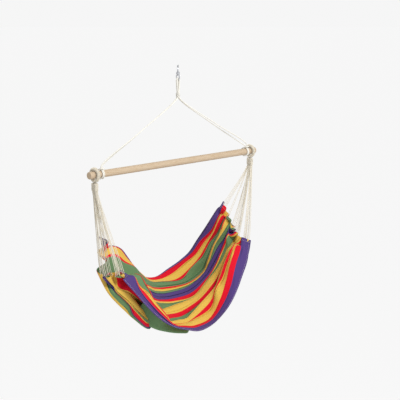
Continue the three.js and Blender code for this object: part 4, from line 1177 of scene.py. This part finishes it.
cloth = sheet_mesh("striped_seat", grid, striped_cloth)
thick = cloth.modifiers.new("thickness", "SOLIDIFY")
thick.thickness = sheet_thickness
thick.offset = 0
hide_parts("seat_cloth")
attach(cloth, "sling")
print("cloth:", len(cloth.data.polygons), "faces")

# %% [markdown]
# Each hairpin cord runs from the neck down through one hole in the hem and back up. Its route is
# that of the frame's own cord: rings of corners follow one another from one end of the tube to
# the other, and the middle of each ring is a point of the route.

# %% Hairpin cords
doubles_within, cap_within, hairpins = 1e-5, 2e-4, 14


def node_route(name):
    shape = bmesh.new()
    shape.from_mesh(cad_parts[name].data)
    bmesh.ops.remove_doubles(shape, verts=shape.verts, dist=doubles_within)
    shape.verts.ensure_lookup_table()
    top = max(vert.co.z for vert in shape.verts)
    caps = [vert for vert in shape.verts if vert.co.z > top - cap_within]
    first = {caps[0].index}
    for _ in range(4):
        for vert in caps:
            if any(other.index in first for edge in vert.link_edges for other in edge.verts):
                first.add(vert.index)
    seen, layer, route = set(first), first, []
    while layer:
        route.append(np.mean([shape.verts[i].co[:] for i in layer], axis=0))
        following = {edge.other_vert(shape.verts[i]).index
                     for i in layer for edge in shape.verts[i].link_edges} - seen
        seen |= following
        layer = following
    shape.free()
    return np.array(route)


hole_places, hole_normals = [], []
for name in ("left", "right"):
    nodes_here = [f"{name}_cord_{k:02d}" for k in range(1, hairpins + 1)]
    routes = [node_route(node) for node in nodes_here]
    lengths_here = [np.linalg.norm(np.diff(route, axis=0), axis=1).sum() for route in routes]
    for route in routes:
        middle = len(route) // 2
        across = route[middle - 2] - route[middle + 2]
        hole_places.append(route[middle])
        hole_normals.append(across / np.linalg.norm(across))
    paths = [smooth_path(route, step=0.0012) for route in routes]
    cords = laid(name + "_cords", paths, hairpin_line, cord_cotton)
    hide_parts(*nodes_here)
    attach(cords, "sling")
    print(name, "cords of", len(routes[0]), "points,", round(min(lengths_here), 3), "to",
          round(max(lengths_here), 3), "m")

# %% [markdown]
# A row of running stitches holds each hem. A tree sets one small bead of thread at each pitch
# along a seam, drawn out to a stitch's length and turned along the seam, which is far less work
# than modelling each stitch, and the pitch stays a number that can be changed.

# %% Geometry Nodes: stitches along a seam
stitch_row, row_in, row_out = new_tree("stitch_row", [
    ("Pitch", "NodeSocketFloat", 0.005), ("Stitch Length", "NodeSocketFloat", 0.0034),
    ("Thread Radius", "NodeSocketFloat", 0.0004), ("Material", "NodeSocketMaterial", None)])
nodes, links = stitch_row.nodes, stitch_row.links
row_points = nodes.new("GeometryNodeCurveToPoints")
row_points.mode = "LENGTH"
fill(links, row_points, {"Curve": row_in.outputs["Geometry"], "Length": row_in.outputs["Pitch"]})
bead = add_node(nodes, links, "GeometryNodeMeshUVSphere",
                {"Segments": 6, "Rings": 4, "Radius": 1.0})
thread_size = row_in.outputs["Thread Radius"]
half_stitch = math_node(nodes, links, "MULTIPLY", row_in.outputs["Stitch Length"], 0.5)
row_sizes = add_node(nodes, links, "ShaderNodeCombineXYZ",
                     {0: thread_size, 1: thread_size, 2: half_stitch})
turn = nodes.new("FunctionNodeAlignRotationToVector")
turn.axis = "Z"
links.new(row_points.outputs["Tangent"], turn.inputs["Vector"])
row_set = add_node(nodes, links, "GeometryNodeInstanceOnPoints", {
    "Points": row_points.outputs["Points"], "Instance": bead.outputs["Mesh"],
    "Rotation": turn.outputs["Rotation"], "Scale": row_sizes.outputs[0]})
finish_tree(stitch_row, row_set.outputs["Instances"], row_in, row_out)
print("stitches as a tree of their own")

# %% [markdown]
# Four seams follow the cloth's four hems, each seen on both faces. They are read off the sheet's
# own grid and lifted by half its thickness, so the thread lies half sunk in the cloth.

# %% Hem stitches
end_hem, edge_hem_column, thread_radius, sunk_share = 0.011, 3, 0.0004, 0.6
normals = sheet_normals(grid)


def row_at(u):
    """The grid's points and normals on a line across the cloth at u."""
    fields = []
    for field in (grid, normals):
        axes = [[np.interp(u, warp_places, field[:, k, axis]) for k in range(columns)]
                for axis in range(3)]
        fields.append(np.stack(axes, axis=1))
    return fields


def column_at(k):
    return grid[2:-2, k], normals[2:-2, k]


lift = sheet_thickness / 2 + thread_radius * sunk_share
seams = []
for place, facing in (row_at(end_hem), row_at(1 - end_hem), column_at(edge_hem_column),
                      column_at(-1 - edge_hem_column)):
    seams += [place + facing * lift, place - facing * lift]
stitches = grown("hem_stitches", path_object("seams", seams), stitch_row,
                 {"Thread Radius": thread_radius, "Material": thread_cotton})
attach(stitches, "sling")
print("hem stitches:", len(stitches.data.polygons), "faces in", len(seams), "rows")

# %% [markdown]
# Each hole is bound with a ring of thread on both faces of the cloth. The rope tree makes these
# too: a small circle round each hole is the path, and the laid thread is the line.

# %% Eyelets
ring_radius, ring_points, ring_lift = 0.0026, 14, 0.0009
rings = []
for place, facing in zip(hole_places, hole_normals):
    facing = Vector(facing)
    side = facing.orthogonal().normalized()
    other = facing.cross(side)
    for face in (-1, 1):
        centre = Vector(place) + facing * face * ring_lift
        rings.append(np.array([centre + (side * math.cos(a) + other * math.sin(a)) * ring_radius
                               for a in np.linspace(0, 2 * math.pi, ring_points, endpoint=False)]))
eyelets = laid("hole_bindings", rings, binding_line, thread_cotton, closed=True)
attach(eyelets, "sling")

# %% [markdown]
# The last cell prints how large the imported model and the finished one are. The two boxes differ
# by at most 20 mm, at the lowest cloth, because it hangs in folds of its own.

# %% Closing
size = {"cad": [list(corner) for corner in cad_box],
        "visual": [list(corner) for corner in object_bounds()]}
print(size)
